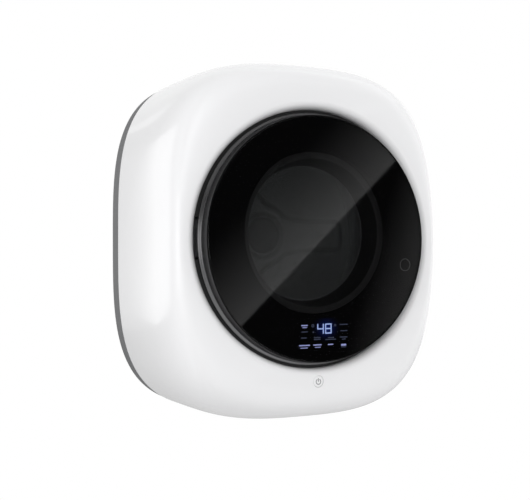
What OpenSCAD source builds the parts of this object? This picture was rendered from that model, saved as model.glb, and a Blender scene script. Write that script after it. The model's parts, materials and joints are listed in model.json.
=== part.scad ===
// Wall mounted front-loading washing machine with a large round glass door.
// The wall is the plane y = 0, the door faces -Y and +Z is up.
// The origin is the centre of the four wall bolts, in the plane of the wall.
// Most pieces are drawn in a turned frame, where x is to the right, y is up
// and z is the distance out from the wall; facing_front() turns it upright.

/* [Body] */
// Width of the body
body_w = 550; // [540:1:560]
// Height of the body
body_h = 650; // [640:1:660]
// Power of the outline: 2 is an ellipse and higher values are squarer
outline_power = 3.42; // [3.3:0.02:3.6]
// Power of the edge between side and front: higher values are squarer
section_power = 4.5; // [4:0.1:5.5]
// Depth of the grey casing behind the white cover
casing_d = 38; // [36:1:42]
// Draft that draws the casing in at the wall
casing_taper = 2; // [0:0.5:4]
// Wall of the moulded cover and casing
shell_wall = 3; // [2.5:0.25:3.5]
// Width of the casing's inward flange at the wall
flange_w = 16; // [14:1:20]
// Clearance between moulded pieces that seat on each other
fit_gap = 0.3; // [0.2:0.05:0.4]

/* [Door recess] */
// Height of the door's centre above the wall bolts' centre
door_z = 3; // [0:1:6]
// Radius of the round recess in the cover
ring_r = 228.5; // [228:0.5:231]
// Distance of the recess edge from the wall, averaged round the ring
ring_out = 309.5; // [308:0.5:311]
// How much nearer the wall the recess edge is at the sides, and farther above
ring_saddle = 5.2; // [4:0.2:6]
// Radius of the rounded recess edge
ring_fillet = 6; // [4:0.5:7]
// Distance of the recess lip's inner end from the wall
lip_out = 296; // [295.5:0.5:297]

/* [Door] */
// Distance of the glass's face from the wall
door_front = 325; // [324:1:328]
// Radius of the glass disc
glass_r = 214.5; // [212:0.5:214.5]
// Thickness of the glass disc
glass_t = 4; // [3:0.5:4]
// Radius of the bezel's front edge
bezel_front_r = 217; // [216.5:0.5:218]
// Radius of the bezel's foot
bezel_foot_r = 224; // [223:0.5:225]
// Distance of the door's back from the wall
door_back = 299; // [298:0.5:300]
// Outer radius of the window bowl's rim
bowl_rim_r = 143; // [140:1:148]
// Radius of the bowl where its wall leaves the rim
bowl_mouth_r = 131; // [129:1:134]
// Radius of the bowl's flat end
bowl_end_r = 117; // [114:1:119]
// Distance of the bowl's end from the wall
bowl_end = 272; // [270:1:275]
// Wall of the bowl
bowl_wall = 3; // [2.5:0.5:4]
// Sideways place of the hinge pin
hinge_x = -240; // [-241:0.5:-239]
// Distance of the hinge pin from the wall
hinge_out = 292; // [291:0.5:293]
// Radius of the hinge pin
hinge_pin_r = 4; // [3:0.5:4.5]
// Thickness of the hinge arm
arm_t = 4; // [3:0.5:4]
// Sideways place of the striker and the lock
lock_x = 203; // [201:1:204]

/* [Drum] */
// Height of the drum's axis above the wall bolts' centre
drum_z = 14; // [12:1:16]
// Radius of the drum
drum_r = 205; // [200:1:206]
// Sheet thickness of the drum
drum_sheet = 1.2; // [1:0.1:1.5]
// Distance of the drum's back from the wall
drum_back = 91; // [90:1:94]
// Height of the star pressed into the drum's back
star_h = 7; // [4:1:9]
// Radius of the drum's mouth
drum_mouth_r = 128; // [126:1:130]
// Radius of the drain holes
drain_hole_r = 2; // [1.5:0.25:3]
// Number of lifters
lifter_count = 3; // [3:1:4]
// Height of a lifter inside the drum
lifter_h = 38; // [28:1:42]

/* [Tub] */
// Running space between drum and tub
tub_gap = 12; // [11:1:14]
// Wall of the tub
tub_wall = 4; // [3:0.5:4]
// Distance of the tub's back wall from the wall
tub_back = 46; // [46:1:48]
// Distance of the split between the tub's two halves from the wall
tub_split = 168; // [160:1:172]
// Distance from the wall at which the tub's front begins to narrow
tub_shoulder = 230; // [226:1:232]
// Radius of the collar that the gasket grips
collar_r = 143; // [142:1:144]
// Number of screws round the tub's flange
tub_screw_count = 10; // [8:1:14]
// Radius of the circle of the tub's rubber mounts
mount_circle_r = 190; // [186:1:194]

/* [Drive] */
// Radius of the drum pulley
pulley_r = 108; // [100:1:110]
// Width of the belt
belt_w = 11; // [9:1:11]
// Radius of the motor pulley
motor_pulley_r = 9; // [8:0.5:12]
// Sideways place of the motor
motor_x = 120; // [118:1:124]
// Height of the motor
motor_z = -226; // [-228:1:-225]
// Radius of the motor's can
motor_r = 42; // [38:1:42]
// Radius of the drum shaft in its rear bearing
shaft_rear_r = 8.5; // [7.5:0.5:8.5]
// Radius of the drum shaft in its front bearing
shaft_front_r = 10; // [10:0.5:12]

/* [Wall bolts] */
// Distance of a wall bolt from the side of the body
bolt_inset_x = 80; // [78:1:84]
// Distance of a wall bolt from the body's top or underside
bolt_inset_z = 85; // [83:1:88]
// Radius of a wall bolt hole
bolt_hole_r = 5.5; // [4.5:0.5:6.5]
// Radius of a rubber wall pad
pad_r = 18; // [14:1:20]

/* [Water and controls] */
// Radius of the threaded water inlet
inlet_r = 13.2; // [12.8:0.1:13.4]
// Sideways place of the water inlet
inlet_x = -100; // [-104:1:-96]
// Outer radius of the drain spigot
spigot_r = 10; // [8:0.5:10.5]
// Sideways place of the filter and the pump
pump_x = -110; // [-112:1:-106]
// Radius of the filter's bore
filter_r = 22; // [20:0.5:23]
// Radius of the power button
button_r = 10; // [8:0.5:11]
// Height of the power button above the body's lowest point
button_rise = 77; // [73:1:79]
// Travel of the power button
button_travel = 1.5; // [1:0.25:2]

/* [Hidden] */

$fn = 96;
round_steps = 90;
cut = 1;

// ---- shared shapes -------------------------------------------------------

// Stands a shape that was drawn in the turned frame upright at a height.
module facing_front(height = 0) {
    translate([0, 0, height]) rotate([90, 0, 0]) children();
}

// Sweeps a profile of [radius, out] points round an axis that faces front.
module spun(height, profile) {
    facing_front(height) rotate_extrude($fn = 180) polygon(profile);
}

// A tube or disc that faces front, from one distance out to another.
module barrel(at, from, to, r, bore = 0) {
    facing_front() translate([at[0], at[1], from]) difference() {
        cylinder(h = to - from, r = r);
        if (bore > 0) translate([0, 0, -cut]) cylinder(h = to - from + 2 * cut, r = bore);
    }
}

// A block given by its lowest and highest corners in the turned frame.
module block(low, high) {
    facing_front() translate(low) cube(high - low);
}

// A quarter bend of pipe in the turned frame's own plane, before placing.
module bend(bend_r, r, bore) {
    rotate_extrude(angle = 90) translate([bend_r, 0]) difference() {
        circle(r = r, $fn = 48);
        circle(r = bore, $fn = 48);
    }
}

module pipe(length, r, bore) {
    difference() {
        cylinder(h = length, r = r);
        translate([0, 0, -cut]) cylinder(h = length + 2 * cut, r = bore);
    }
}

// Radius of the body's outline at an angle round its centre.
function outline_r(angle, inset) =
    pow(pow(abs(cos(angle)) / (body_w / 2 - inset), outline_power)
        + pow(abs(sin(angle)) / (body_h / 2 - inset), outline_power), -1 / outline_power);

function outline_point(angle, inset) = outline_r(angle, inset) * [cos(angle), sin(angle)];

function outline(inset) =
    [for (i = [0 : round_steps - 1]) outline_point(360 * i / round_steps, inset)];

// Height of the body's underside or top at a place sideways, as a positive number.
function outline_height(x) =
    body_h / 2 * pow(1 - pow(abs(x) / (body_w / 2), outline_power), 1 / outline_power);

function ring_edge(angle) = ring_out - ring_saddle * cos(2 * angle);

function ring_point(angle, r) = [r * cos(angle), door_z + r * sin(angle)];

// One ring of points of the cover: t runs from 0 at the casing to 90 at the recess.
function cover_row(t, inset) =
    let (u = pow(cos(t), 2 / section_power), v = pow(sin(t), 2 / section_power))
    [for (i = [0 : round_steps - 1])
        let (angle = 360 * i / round_steps,
             near = ring_point(angle, ring_r + ring_fillet + inset),
             far = outline_point(angle, inset),
             flat = near + (far - near) * u,
             top = ring_edge(angle) - inset)
        [flat[0], flat[1], casing_d + (top - casing_d) * v]];

// One ring of points round the recess, at a depth under its edge or at a fixed distance.
function ring_row(r, below) =
    [for (i = [0 : round_steps - 1])
        let (angle = 360 * i / round_steps, p = ring_point(angle, r))
        [p[0], p[1], ring_edge(angle) - below]];

function flat_row(r, out) =
    [for (i = [0 : round_steps - 1]) let (p = ring_point(360 * i / round_steps, r)) [p[0], p[1], out]];

function inset_row(inset, out) = [for (p = outline(inset)) [p[0], p[1], out]];

// Joins rings of points, each as long as the next, into one closed ring-shaped solid.
module loop_of_rings(rings) {
    rows = len(rings);
    n = round_steps;
    points = [for (ring = rings) each ring];
    faces = [for (i = [0 : rows - 1], j = [0 : n - 1])
        let (a = i * n + j, b = i * n + (j + 1) % n,
             c = ((i + 1) % rows) * n + (j + 1) % n, d = ((i + 1) % rows) * n + j)
        each [[a, c, b], [a, d, c]]];
    polyhedron(points, faces, convexity = 8);
}

bolt_places = [for (sx = [-1, 1], sz = [-1, 1])
    [sx * (body_w / 2 - bolt_inset_x), sz * (body_h / 2 - bolt_inset_z)]];

// ---- body shell ----------------------------------------------------------

plate_out = 4;
plate_t = 1.2;
plate_front = plate_out + plate_t;
tongue_h = 8;
tongue_t = 2.5;
tongue_inset = shell_wall + fit_gap;
service_out = casing_d / 2;
service_r = 16;
gland_x = 60;
gland_r = 8;
drain_x = pump_x - 40;
filter_out = 205;
cover_screw_x = 150;

module rear_casing() {
    color([0.45, 0.46, 0.47]) difference() {
        facing_front() loop_of_rings([
            inset_row(casing_taper, 0),
            inset_row(0, casing_d),
            inset_row(tongue_inset, casing_d),
            inset_row(tongue_inset, casing_d + tongue_h),
            inset_row(tongue_inset + tongue_t, casing_d + tongue_h),
            inset_row(tongue_inset + tongue_t, plate_out),
            inset_row(flange_w, plate_out),
            inset_row(flange_w, 0)]);
        for (hole = [[inlet_x, 1, service_r], [drain_x, -1, service_r], [gland_x, -1, gland_r + fit_gap]])
            translate([hole[0], -service_out, hole[1] > 0 ? body_h / 4 : -body_h])
                cylinder(h = body_h * 3 / 4, r = hole[2]);
        for (x = screw_places) translate([x, -screw_out, -body_h]) cylinder(h = body_h, r = screw_r + 0.1);
    }
}

// Pressed steel plate with its four bolt holes and stiffening beads.
bead_h = 2.5;
bead_places = [-100, -50, 50, 100];
bead_length = 160;
module rear_plate() {
    color([0.72, 0.73, 0.74]) facing_front() difference() {
        union() {
            translate([0, 0, plate_out]) linear_extrude(plate_t)
                polygon(outline(tongue_inset + tongue_t + fit_gap));
            for (x = bead_places) translate([x, 0, plate_out - bead_h])
                linear_extrude(bead_h) bead_shape(bead_length);
        }
        for (p = bolt_places) translate([p[0], p[1], -cut]) cylinder(h = plate_front + 2 * cut,
            r = bolt_hole_r);
        for (x = bead_places) translate([x, 0, plate_out - bead_h + plate_t])
            linear_extrude(bead_h + cut) bead_shape(bead_length, plate_t);
    }
}

bead_r = 11;
module bead_shape(length, inset = 0) {
    r = bead_r - inset;
    square([2 * r, length], center = true);
    for (s = [-1, 1]) translate([0, s * length / 2]) circle(r = r, $fn = 48);
}

module wall_pads() {
    color([0.1, 0.1, 0.1]) for (p = bolt_places) barrel(p, 0, plate_out, pad_r, bolt_hole_r);
}

// The cover is one moulding: outline at the casing, rounded edge, round recess.
// Its rings crowd together where the rounded edge runs out into the flat front.
outer_turns = [0, 4, 10, 20, 32, 44, 56, 66, 74, 80, 84.5, 87.5, 89.3, 90];
inner_turns = [90, 89, 85, 78, 68, 54, 36, 18, 6, 0];
module front_cover() {
    outer = [for (t = outer_turns) cover_row(t, 0)];
    fillet = [for (a = [30, 60, 90])
        ring_row(ring_r + ring_fillet * (1 - sin(a)), ring_fillet * (1 - cos(a)))];
    lip = [flat_row(ring_r, lip_out), flat_row(ring_r + shell_wall, lip_out)];
    inner = [for (t = inner_turns) cover_row(t, shell_wall)];
    color([0.95, 0.95, 0.96]) difference() {
        facing_front() loop_of_rings(concat(outer, fillet, lip, inner));
        barrel([0, button_z], lip_out, door_front, button_r + button_gap);
        translate([pump_x, -filter_out, -body_h]) cylinder(h = body_h, r = filter_r + 4);
        for (x = screw_places) translate([x, -screw_out, -body_h]) cylinder(h = body_h,
            r = screw_head_r + fit_gap);
    }
}

// Two screws under the body hold the cover to the casing's tongue.
screw_places = [-30, 30];
screw_out = casing_d + tongue_h - 3;
screw_head_r = 4;
screw_r = 1.8;
module cover_screws() {
    head_z = -body_h / 2 + tongue_inset;
    color([0.6, 0.6, 0.62]) for (x = screw_places) translate([x, -screw_out, head_z]) {
        translate([0, 0, -2.4]) cylinder(h = 2.4, r = screw_head_r);
        cylinder(h = 8, r = screw_r);
    }
}

// Panel behind the door, with the gasket's opening and the ways for the parts of the door.
fascia_t = 3;
fascia_out = lip_out - 10.3;
gasket_seat_r = 151.8;
fascia_wall_r = 226;
slot_w = 12;
slot_h = 22;
plunger_r = 5;
plunger_z = door_z + 24;
module front_fascia() {
    flange_out = lip_out - fit_gap;
    color([0.8, 0.81, 0.82]) difference() {
        spun(door_z, [
            [gasket_seat_r - 20, fascia_out], [fascia_wall_r, fascia_out],
            [fascia_wall_r, flange_out - fascia_t], [ring_r + 7, flange_out - fascia_t],
            [ring_r + 7, flange_out], [fascia_wall_r - fascia_t, flange_out],
            [fascia_wall_r - fascia_t, fascia_out + fascia_t],
            [gasket_seat_r - 20, fascia_out + fascia_t]]);
        barrel([0, drum_z], fascia_out - cut, door_back, gasket_seat_r);
        sector(drum_z, 174, 208, 115, 145, fascia_out - cut, door_back);
        block([lock_x - slot_w / 2, door_z - slot_h / 2, fascia_out - cut],
              [lock_x + slot_w / 2, door_z + slot_h / 2, door_back]);
        barrel([lock_x, plunger_z], fascia_out - cut, door_back, plunger_r + 0.7);
        block([hinge_x - 2, pin_low - fit_gap, fascia_out - cut], [arm_seat_x + 3, pin_high + fit_gap,
            door_back]);
    }
}

// Part of a ring, between two radii, two angles and two distances out.
module sector(height, r0, r1, a0, a1, from, to) {
    facing_front(height) rotate([0, 0, a0]) rotate_extrude(angle = a1 - a0, $fn = 180)
        polygon([[r0, from], [r1, from], [r1, to], [r0, to]]);
}

// ---- detergent and water -------------------------------------------------

tray_back = fascia_out - 25.7;
tray_r = [gasket_seat_r + 8.2, fascia_wall_r - 13];
tray_wall = 2.5;
tray_front = fascia_out - fit_gap;
hose_r = 8;
hose_bore = 6;
hose_out = tray_back + 12;
hose_bend = 14;
valve_z = body_h / 2 - 49;
tray_stub_z = 206;
module dispenser_tray() {
    color([0.85, 0.86, 0.88]) difference() {
        union() {
            sector(drum_z, tray_r[0], tray_r[1], 112, 148, tray_back, tray_front);
            translate([inlet_x, -hose_out, 195]) cylinder(h = tray_stub_z - 195 + 8, r = hose_bore - 0.2);
        }
        for (a = [113, 130.6]) sector(drum_z, tray_r[0] + tray_wall, tray_r[1] - tray_wall, a, a + 16.4,
            tray_back + tray_wall, tray_front + cut);
        translate([inlet_x, -hose_out, 190]) cylinder(h = 40, r = hose_bore - 2);
    }
}

module fill_hose() {
    start = 40;
    color([0.2, 0.2, 0.22]) {
        facing_front() translate([inlet_x, valve_z, start])
            pipe(hose_out - hose_bend - start, hose_r, hose_bore);
        translate([inlet_x, -(hose_out - hose_bend), valve_z - hose_bend])
            rotate([90, 0, -90]) bend(hose_bend, hose_r, hose_bore);
        translate([inlet_x, -hose_out, tray_stub_z])
            pipe(valve_z - hose_bend - tray_stub_z, hose_r, hose_bore);
    }
}

module inlet_valve() {
    top = outline_height(inlet_x) - 2;
    color([0.93, 0.93, 0.9]) {
        difference() {
            union() {
                block([inlet_x - 18, valve_z - 13, plate_front], [inlet_x + 18, valve_z + 14, 34]);
                translate([inlet_x, -service_out, valve_z]) cylinder(h = top - valve_z, r = inlet_r);
            }
            translate([inlet_x, -service_out, valve_z + 14]) cylinder(h = body_h, r = inlet_r - 4);
        }
        barrel([inlet_x, valve_z], 34, 50, hose_bore - 0.1, hose_bore - 2.5);
        translate([inlet_x + 18, -service_out, valve_z]) rotate([0, 90, 0]) cylinder(h = 30, r = 12);
    }
}

// ---- tub -----------------------------------------------------------------

tub_in = drum_r + tub_gap;
tub_out_r = tub_in + tub_wall;
flange_r = tub_out_r + 15;
flange_t = 8;
seal_gap = 0.5;
front_flange = tub_split + seal_gap;
seal_r = tub_out_r + 5;
bolt_circle_r = tub_out_r + 10;
hub_r = 32;
hub_back = 30;
hub_front = 78;
rear_bearing = [32, 44];
front_bearing_span = [56, 70];
rear_race_r = 20;
front_race_r = 23.5;
seal_race_r = 26;
shaft_clear_r = 14;
motor_reach = norm([motor_x, motor_z - drum_z]);
motor_angle = atan2(motor_z - drum_z, motor_x);
mount_angles = [20, 160, 215, 325];
mount_r = 16;
post_back = 24;
heater_z = drum_z - drum_r - tub_gap / 2;
heater_span = 14;
heater_rod_r = 3;
screw_span = 360 / tub_screw_count;

function on_circle(r, angle) = [r * cos(angle), drum_z + r * sin(angle)];

module tub_rear() {
    color([0.62, 0.64, 0.66]) difference() {
        union() {
            spun(drum_z, [
                [rear_race_r, hub_back], [hub_r, hub_back], [hub_r, tub_back],
                [tub_out_r - 6, tub_back], [tub_out_r, tub_back + 6],
                [tub_out_r, tub_split - flange_t], [flange_r, tub_split - flange_t],
                [flange_r, tub_split], [seal_r + 2, tub_split], [seal_r + 2, tub_split - 3],
                [seal_r - 2, tub_split - 3], [seal_r - 2, tub_split], [tub_in, tub_split],
                [tub_in, tub_back + tub_wall + 4], [tub_in - 4, tub_back + tub_wall],
                [hub_r, tub_back + tub_wall], [hub_r, hub_front], [seal_race_r, hub_front],
                [seal_race_r, front_bearing_span[1]], [front_race_r, front_bearing_span[1]],
                [front_race_r, front_bearing_span[0]], [shaft_clear_r, front_bearing_span[0]],
                [shaft_clear_r, rear_bearing[1]], [rear_race_r, rear_bearing[1]]]);
            for (k = [0 : 11]) facing_front(drum_z) rotate([0, 0, 30 * k + 8])
                translate([hub_r - 1, -1.5, tub_back - flange_t]) cube([tub_out_r - hub_r - 6, 3,
                    flange_t + 1]);
            for (a = mount_angles) barrel(on_circle(mount_circle_r, a), post_back, tub_back + 1,
                mount_r - 2);
            facing_front(drum_z) rotate([0, 0, motor_angle])
                translate([tub_out_r - 1.5, -18, 62]) cube([12, 36, 68]);
        }
        barrel([motor_x, motor_z], 60, 132, motor_r + fit_gap);
        for (x = [-heater_span, heater_span]) barrel([x, heater_z], tub_back - cut, tub_back + 10,
            heater_rod_r + 1.5);
        for (k = [0 : tub_screw_count - 1])
            barrel(on_circle(bolt_circle_r, screw_span * (k + 0.5)), tub_split - flange_t - cut,
                tub_split + cut, 2.1);
    }
}

sump_x = -60;
sump_r = 16.5;
sump_end = -222;
port_top = 251;
module tub_front() {
    collar_in = collar_r - tub_wall;
    color([0.62, 0.64, 0.66]) difference() {
        union() {
            spun(drum_z, [
                [tub_in, front_flange], [flange_r, front_flange], [flange_r, front_flange + flange_t],
                [tub_out_r, front_flange + flange_t], [tub_out_r, tub_shoulder],
                [collar_r, tub_shoulder + 36], [collar_r, 284], [collar_in, 284],
                [collar_in, tub_shoulder + 32], [tub_in, tub_shoulder - 2]]);
            translate([sump_x, -filter_out, sump_end]) cylinder(h = 32, r = sump_r);
            block([-16, drum_z + tub_in, 204], [16, port_top, 229]);
        }
        translate([sump_x, -filter_out, sump_end - cut]) cylinder(h = 60, r = sump_r - 3);
        block([-14, drum_z + tub_in - 10, 206], [14, port_top + cut, 227]);
        for (k = [0 : tub_screw_count - 1])
            barrel(on_circle(bolt_circle_r, screw_span * (k + 0.5)), front_flange - cut, front_flange
                + flange_t + cut, 2.1);
        spun(drum_z, [[0, 150], [tub_in, 150], [tub_in, tub_shoulder - 2], [collar_in, tub_shoulder
            + 32], [0, tub_shoulder + 32]]);
    }
}

module tub_seal() {
    color([0.15, 0.15, 0.15]) spun(drum_z, [
        [seal_r - 1.8, tub_split - 3], [seal_r + 1.8, tub_split - 3],
        [seal_r + 1.8, front_flange], [seal_r - 1.8, front_flange]]);
}

module tub_screws() {
    seat = front_flange + flange_t;
    color([0.7, 0.7, 0.72]) for (k = [0 : tub_screw_count - 1]) {
        at = on_circle(bolt_circle_r, screw_span * (k + 0.5));
        barrel(at, tub_split - flange_t - 2, seat, 2);
        facing_front() translate([at[0], at[1], seat]) cylinder(h = 3.5, r = 4.2, $fn = 6);
    }
}

module tub_mounts() {
    color([0.12, 0.12, 0.12]) for (a = mount_angles) spun_at(on_circle(mount_circle_r, a), [
        [0, plate_front], [mount_r, plate_front], [mount_r, plate_front + 4], [mount_r - 4,
            plate_front + 7],
        [mount_r - 4, post_back - 7], [mount_r, post_back - 4], [mount_r, post_back], [0, post_back]]);
}

// Sweeps a profile of [radius, out] points round an axis at any place on the body.
module spun_at(at, profile) {
    facing_front() translate([at[0], at[1], 0]) rotate_extrude() polygon(profile);
}

module ball_bearing(bore_r, race_r, span) {
    mid = (bore_r + race_r) / 2;
    spun(drum_z, [
        [bore_r, span[0]], [mid - 2.5, span[0]], [mid - 2.5, span[0] + 1], [mid + 2.5, span[0] + 1],
        [mid + 2.5, span[0]], [race_r, span[0]], [race_r, span[1]], [mid + 2.5, span[1]],
        [mid + 2.5, span[1] - 1], [mid - 2.5, span[1] - 1], [mid - 2.5, span[1]], [bore_r, span[1]]]);
}

running_gap = 0.05;
module front_bearing() { color([0.7, 0.71, 0.73]) ball_bearing(shaft_front_r + running_gap,
    front_race_r, front_bearing_span); }
module rear_bearing() { color([0.7, 0.71, 0.73]) ball_bearing(shaft_rear_r + running_gap, rear_race_r,
    rear_bearing); }

sleeve_r = 15;
module shaft_seal() {
    color([0.1, 0.1, 0.1]) spun(drum_z, [
        [sleeve_r + 0.3, front_bearing_span[1] + 1], [seal_race_r, front_bearing_span[1]],
        [seal_race_r, hub_front], [seal_race_r - 3, hub_front], [seal_race_r - 3,
            front_bearing_span[1] + 3],
        [sleeve_r + 2, front_bearing_span[1] + 3], [sleeve_r + 0.3, front_bearing_span[1] + 5]]);
}

// Radius of the bowl's outside at a distance from the wall.
function bowl_r(out) =
    bowl_end_r + bowl_wall + (bowl_mouth_r - bowl_end_r) * (out - bowl_end) / (door_back + 3 - bowl_end);

gasket_back = fascia_out - 18.7;
module door_gasket() {
    grip = collar_r + 3.5;
    wing = gasket_seat_r + 3.7;
    lip = fascia_out + 6.8;
    color([0.3, 0.31, 0.32]) spun(drum_z, [
        [collar_r, gasket_back], [grip, gasket_back], [grip, fascia_out - 6.7],
        [gasket_seat_r - 1.8, fascia_out - 2.7], [wing, fascia_out - 2.7],
        [wing, fascia_out - fit_gap], [gasket_seat_r - fit_gap, fascia_out - fit_gap],
        [gasket_seat_r - fit_gap, fascia_out + fascia_t + fit_gap],
        [wing, fascia_out + fascia_t + fit_gap], [wing, lip - 0.5], [gasket_seat_r - 2.8, lip],
        [collar_r + 1, lip - 4], [collar_r - 7, lip - 3.5],
        [bowl_r(lip) + 0.8, lip + 0.5], [bowl_r(lip - 2.5) + 0.5, lip - 2.5],
        [collar_r - 8.5, fascia_out + 0.5], [collar_r - 3, fascia_out - 1.3],
        [collar_r, fascia_out - 1.3]]);
}

module gasket_clamp() {
    grip = collar_r + 3.5;
    from = gasket_back + 4;
    color([0.75, 0.76, 0.78]) {
        spun(drum_z, [[grip, from], [grip + 1.2, from], [grip + 1.2, from + 5], [grip, from + 5]]);
        block([-7, drum_z + grip + 0.4, from], [7, drum_z + grip + 5, from + 5]);
    }
}

// ---- drum ----------------------------------------------------------------

drum_in = drum_r - drum_sheet;
shell_front = 220;
shell_rows = 4;
shell_holes = 24;
star_arms = 3;
hub_boss_r = 36;
hole_pitch = 25;
hole_row_step = 18;
hole_first_row = 84;
hole_rows = 4;

module drum_shell() {
    color([0.78, 0.79, 0.8]) difference() {
        barrel([0, drum_z], drum_back, shell_front, drum_r, drum_in);
        facing_front(drum_z) for (row = [0 : shell_rows - 1], k = [0 : shell_holes - 1])
            rotate([0, 0, (k + (row % 2) / 2) * 360 / shell_holes + 4])
                translate([drum_in - 4, 0, drum_back + 26 + row * 28])
                    rotate([0, 90, 0]) cylinder(h = 8, r = drain_hole_r + 0.5);
    }
}

// Outline of the pressed star: a hub with arms that narrow towards the drum's edge.
module star_shape(inset) {
    root = 27 - inset;
    tip = 17 - inset;
    reach = drum_in - 32;
    circle(r = hub_boss_r + 6 - inset);
    for (k = [0 : star_arms - 1]) rotate(360 * k / star_arms) {
        polygon([[0, -root], [reach, -tip], [reach, tip], [0, root]]);
        translate([reach, 0]) circle(r = tip);
    }
}

module drum_back_panel() {
    top = drum_back + star_h;
    color([0.74, 0.75, 0.76]) difference() {
        union() {
            spun(drum_z, [
                [0, drum_back], [drum_in, drum_back], [drum_in, drum_back + 9],
                [drum_in - drum_sheet, drum_back + 9], [drum_in - drum_sheet, drum_back + drum_sheet],
                [0, drum_back + drum_sheet]]);
            facing_front(drum_z) translate([0, 0, drum_back]) linear_extrude(star_h) star_shape(0);
            spun(drum_z, [
                [0, top - 1], [hub_boss_r, top - 1], [hub_boss_r, top + 1],
                [hub_boss_r - 3, top + 2.5], [0, top + 2.5]]);
        }
        facing_front(drum_z) translate([0, 0, drum_back - cut]) linear_extrude(star_h - drum_sheet + cut)
            star_shape(drum_sheet);
        facing_front(drum_z) for (arm = [0 : star_arms - 1], row = [0 : hole_rows - 1], side = [-1, 1],
            k = [0 : 2]) {
            along = hole_first_row + row * hole_row_step;
            across = side * (k + (row % 2 == 0 ? 0.5 : 0)) * hole_pitch;
            if (!(across == 0 && side < 0) && abs(across) < 0.72 * along)
                rotate([0, 0, (arm + 0.5) * 360 / star_arms]) translate([along, across, drum_back - cut])
                    cylinder(h = drum_sheet + 2 * cut, r = drain_hole_r);
        }
    }
}

module drum_front_panel() {
    inner = drum_in - 0.2;
    color([0.78, 0.79, 0.8]) spun(drum_z, [
        [inner - drum_sheet, shell_front - 8], [inner, shell_front - 8], [inner, shell_front],
        [drum_r, shell_front + 0.3], [drum_r - 1, shell_front + 2.5], [drum_mouth_r + 2, 254],
        [drum_mouth_r - 2, 253], [drum_mouth_r - 3.4, 250], [drum_mouth_r - 2, 248.6],
        [drum_mouth_r, 251], [drum_mouth_r + 2.5, 252.2], [inner - drum_sheet, shell_front + 1]]);
}

lifter_half_w = 26;
module drum_lifters() {
    seat = sqrt(pow(drum_in - 0.3, 2) - pow(lifter_half_w, 2));
    color([0.83, 0.84, 0.86]) facing_front(drum_z) for (k = [0 : lifter_count - 1])
        rotate([0, 0, 360 * (k + 0.5) / lifter_count - 90]) translate([0, 0, drum_back + 10])
            linear_extrude(shell_front - 9 - drum_back - 10)
                polygon([for (t = [-1 : 0.125 : 1]) [t * lifter_half_w, seat
                    - lifter_h * pow(cos(90 * t), 1.5)]]);
}

spider_back = drum_back - 10;
star_seat = drum_back + star_h - drum_sheet;
module drum_spider() {
    color([0.6, 0.61, 0.63]) {
        difference() {
            union() {
                for (k = [0 : star_arms - 1]) facing_front(drum_z) rotate([0, 0, 360 * k / star_arms]) {
                    translate([0, 0, drum_back - 3]) linear_extrude(3)
                        polygon([[0, -17], [drum_in - 26, -11], [drum_in - 26, 11], [0, 17]]);
                    translate([0, -3, spider_back + 1]) cube([drum_in - 34, 6, 7]);
                }
                barrel([0, drum_z], spider_back, star_seat, 27);
            }
            barrel([0, drum_z], spider_back - cut, drum_back - 2, shaft_front_r + 2);
        }
        for (k = [0 : star_arms - 1])
            barrel(on_circle(drum_in - 32, 360 * k / star_arms), drum_back - 4, star_seat, 12);
    }
}

pulley_back = 13;
pulley_front = 28;
module drum_shaft() {
    color([0.72, 0.73, 0.75]) spun(drum_z, [
        [0, pulley_back + 1], [shaft_rear_r, pulley_back + 1], [shaft_rear_r, 55], [shaft_front_r, 56],
        [shaft_front_r, front_bearing_span[1]], [sleeve_r, front_bearing_span[1] + 0.5],
        [sleeve_r, spider_back - 1], [shaft_front_r + 2, spider_back - 1],
        [shaft_front_r + 2, drum_back - 2], [0, drum_back - 2]]);
}

// ---- drive ---------------------------------------------------------------

belt_mid = (pulley_back + pulley_front) / 2;
belt_t = 3;
belt_gap = 0.3;
groove_count = 5;
groove_d = 1.6;

// Outline points of a grooved rim from one distance out to another.
function grooves(r, from, to) =
    let (step = (to - from) / groove_count)
    [for (k = [0 : groove_count - 1]) each
        [[r, from + k * step], [r - groove_d, from + (k + 0.5) * step], [r, from + (k + 0.96) * step]]];

module drum_pulley() {
    web = [belt_mid - 2, belt_mid + 2];
    color([0.62, 0.63, 0.65]) difference() {
        spun(drum_z, concat(
            [[shaft_rear_r, pulley_back], [20, pulley_back], [20, web[0]], [pulley_r - 8, web[0]],
             [pulley_r - 8, pulley_back], [pulley_r, pulley_back]],
            grooves(pulley_r, pulley_back + 1.5, pulley_front - 1.5),
            [[pulley_r, pulley_front], [pulley_r - 8, pulley_front], [pulley_r - 8, web[1]],
             [20, web[1]], [20, pulley_front], [shaft_rear_r, pulley_front]]));
        for (k = [0 : 5]) barrel(on_circle(pulley_r * 0.58, 60 * k), web[0] - cut, web[1] + cut, 17);
    }
}

module pulley_bolt() {
    color([0.65, 0.65, 0.67]) {
        barrel([0, drum_z], pulley_back - 1.5, pulley_back, 13);
        facing_front() translate([0, drum_z, pulley_back - 6]) cylinder(h = 4.5, r = 8.5, $fn = 6);
    }
}

// Belt outline round both pulleys, grown outwards; its straight runs touch both circles.
belt_steps = 60;
module belt_outline(grow) {
    lean = acos((pulley_r - motor_pulley_r) / motor_reach);
    big = pulley_r + grow;
    small = motor_pulley_r + grow;
    polygon(concat(
        [for (i = [0 : belt_steps]) let (a = lean + (360 - 2 * lean) * i / belt_steps) big * [cos(a),
            sin(a)]],
        [for (i = [0 : belt_steps / 4]) let (a = -lean + 2 * lean * i / (belt_steps / 4))
            [motor_reach, 0] + small * [cos(a), sin(a)]]));
}

module drive_belt() {
    color([0.08, 0.08, 0.08]) facing_front(drum_z) rotate([0, 0, motor_angle])
        translate([0, 0, belt_mid - belt_w / 2]) linear_extrude(belt_w) difference() {
            belt_outline(belt_gap + belt_t);
            belt_outline(belt_gap);
        }
}

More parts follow.
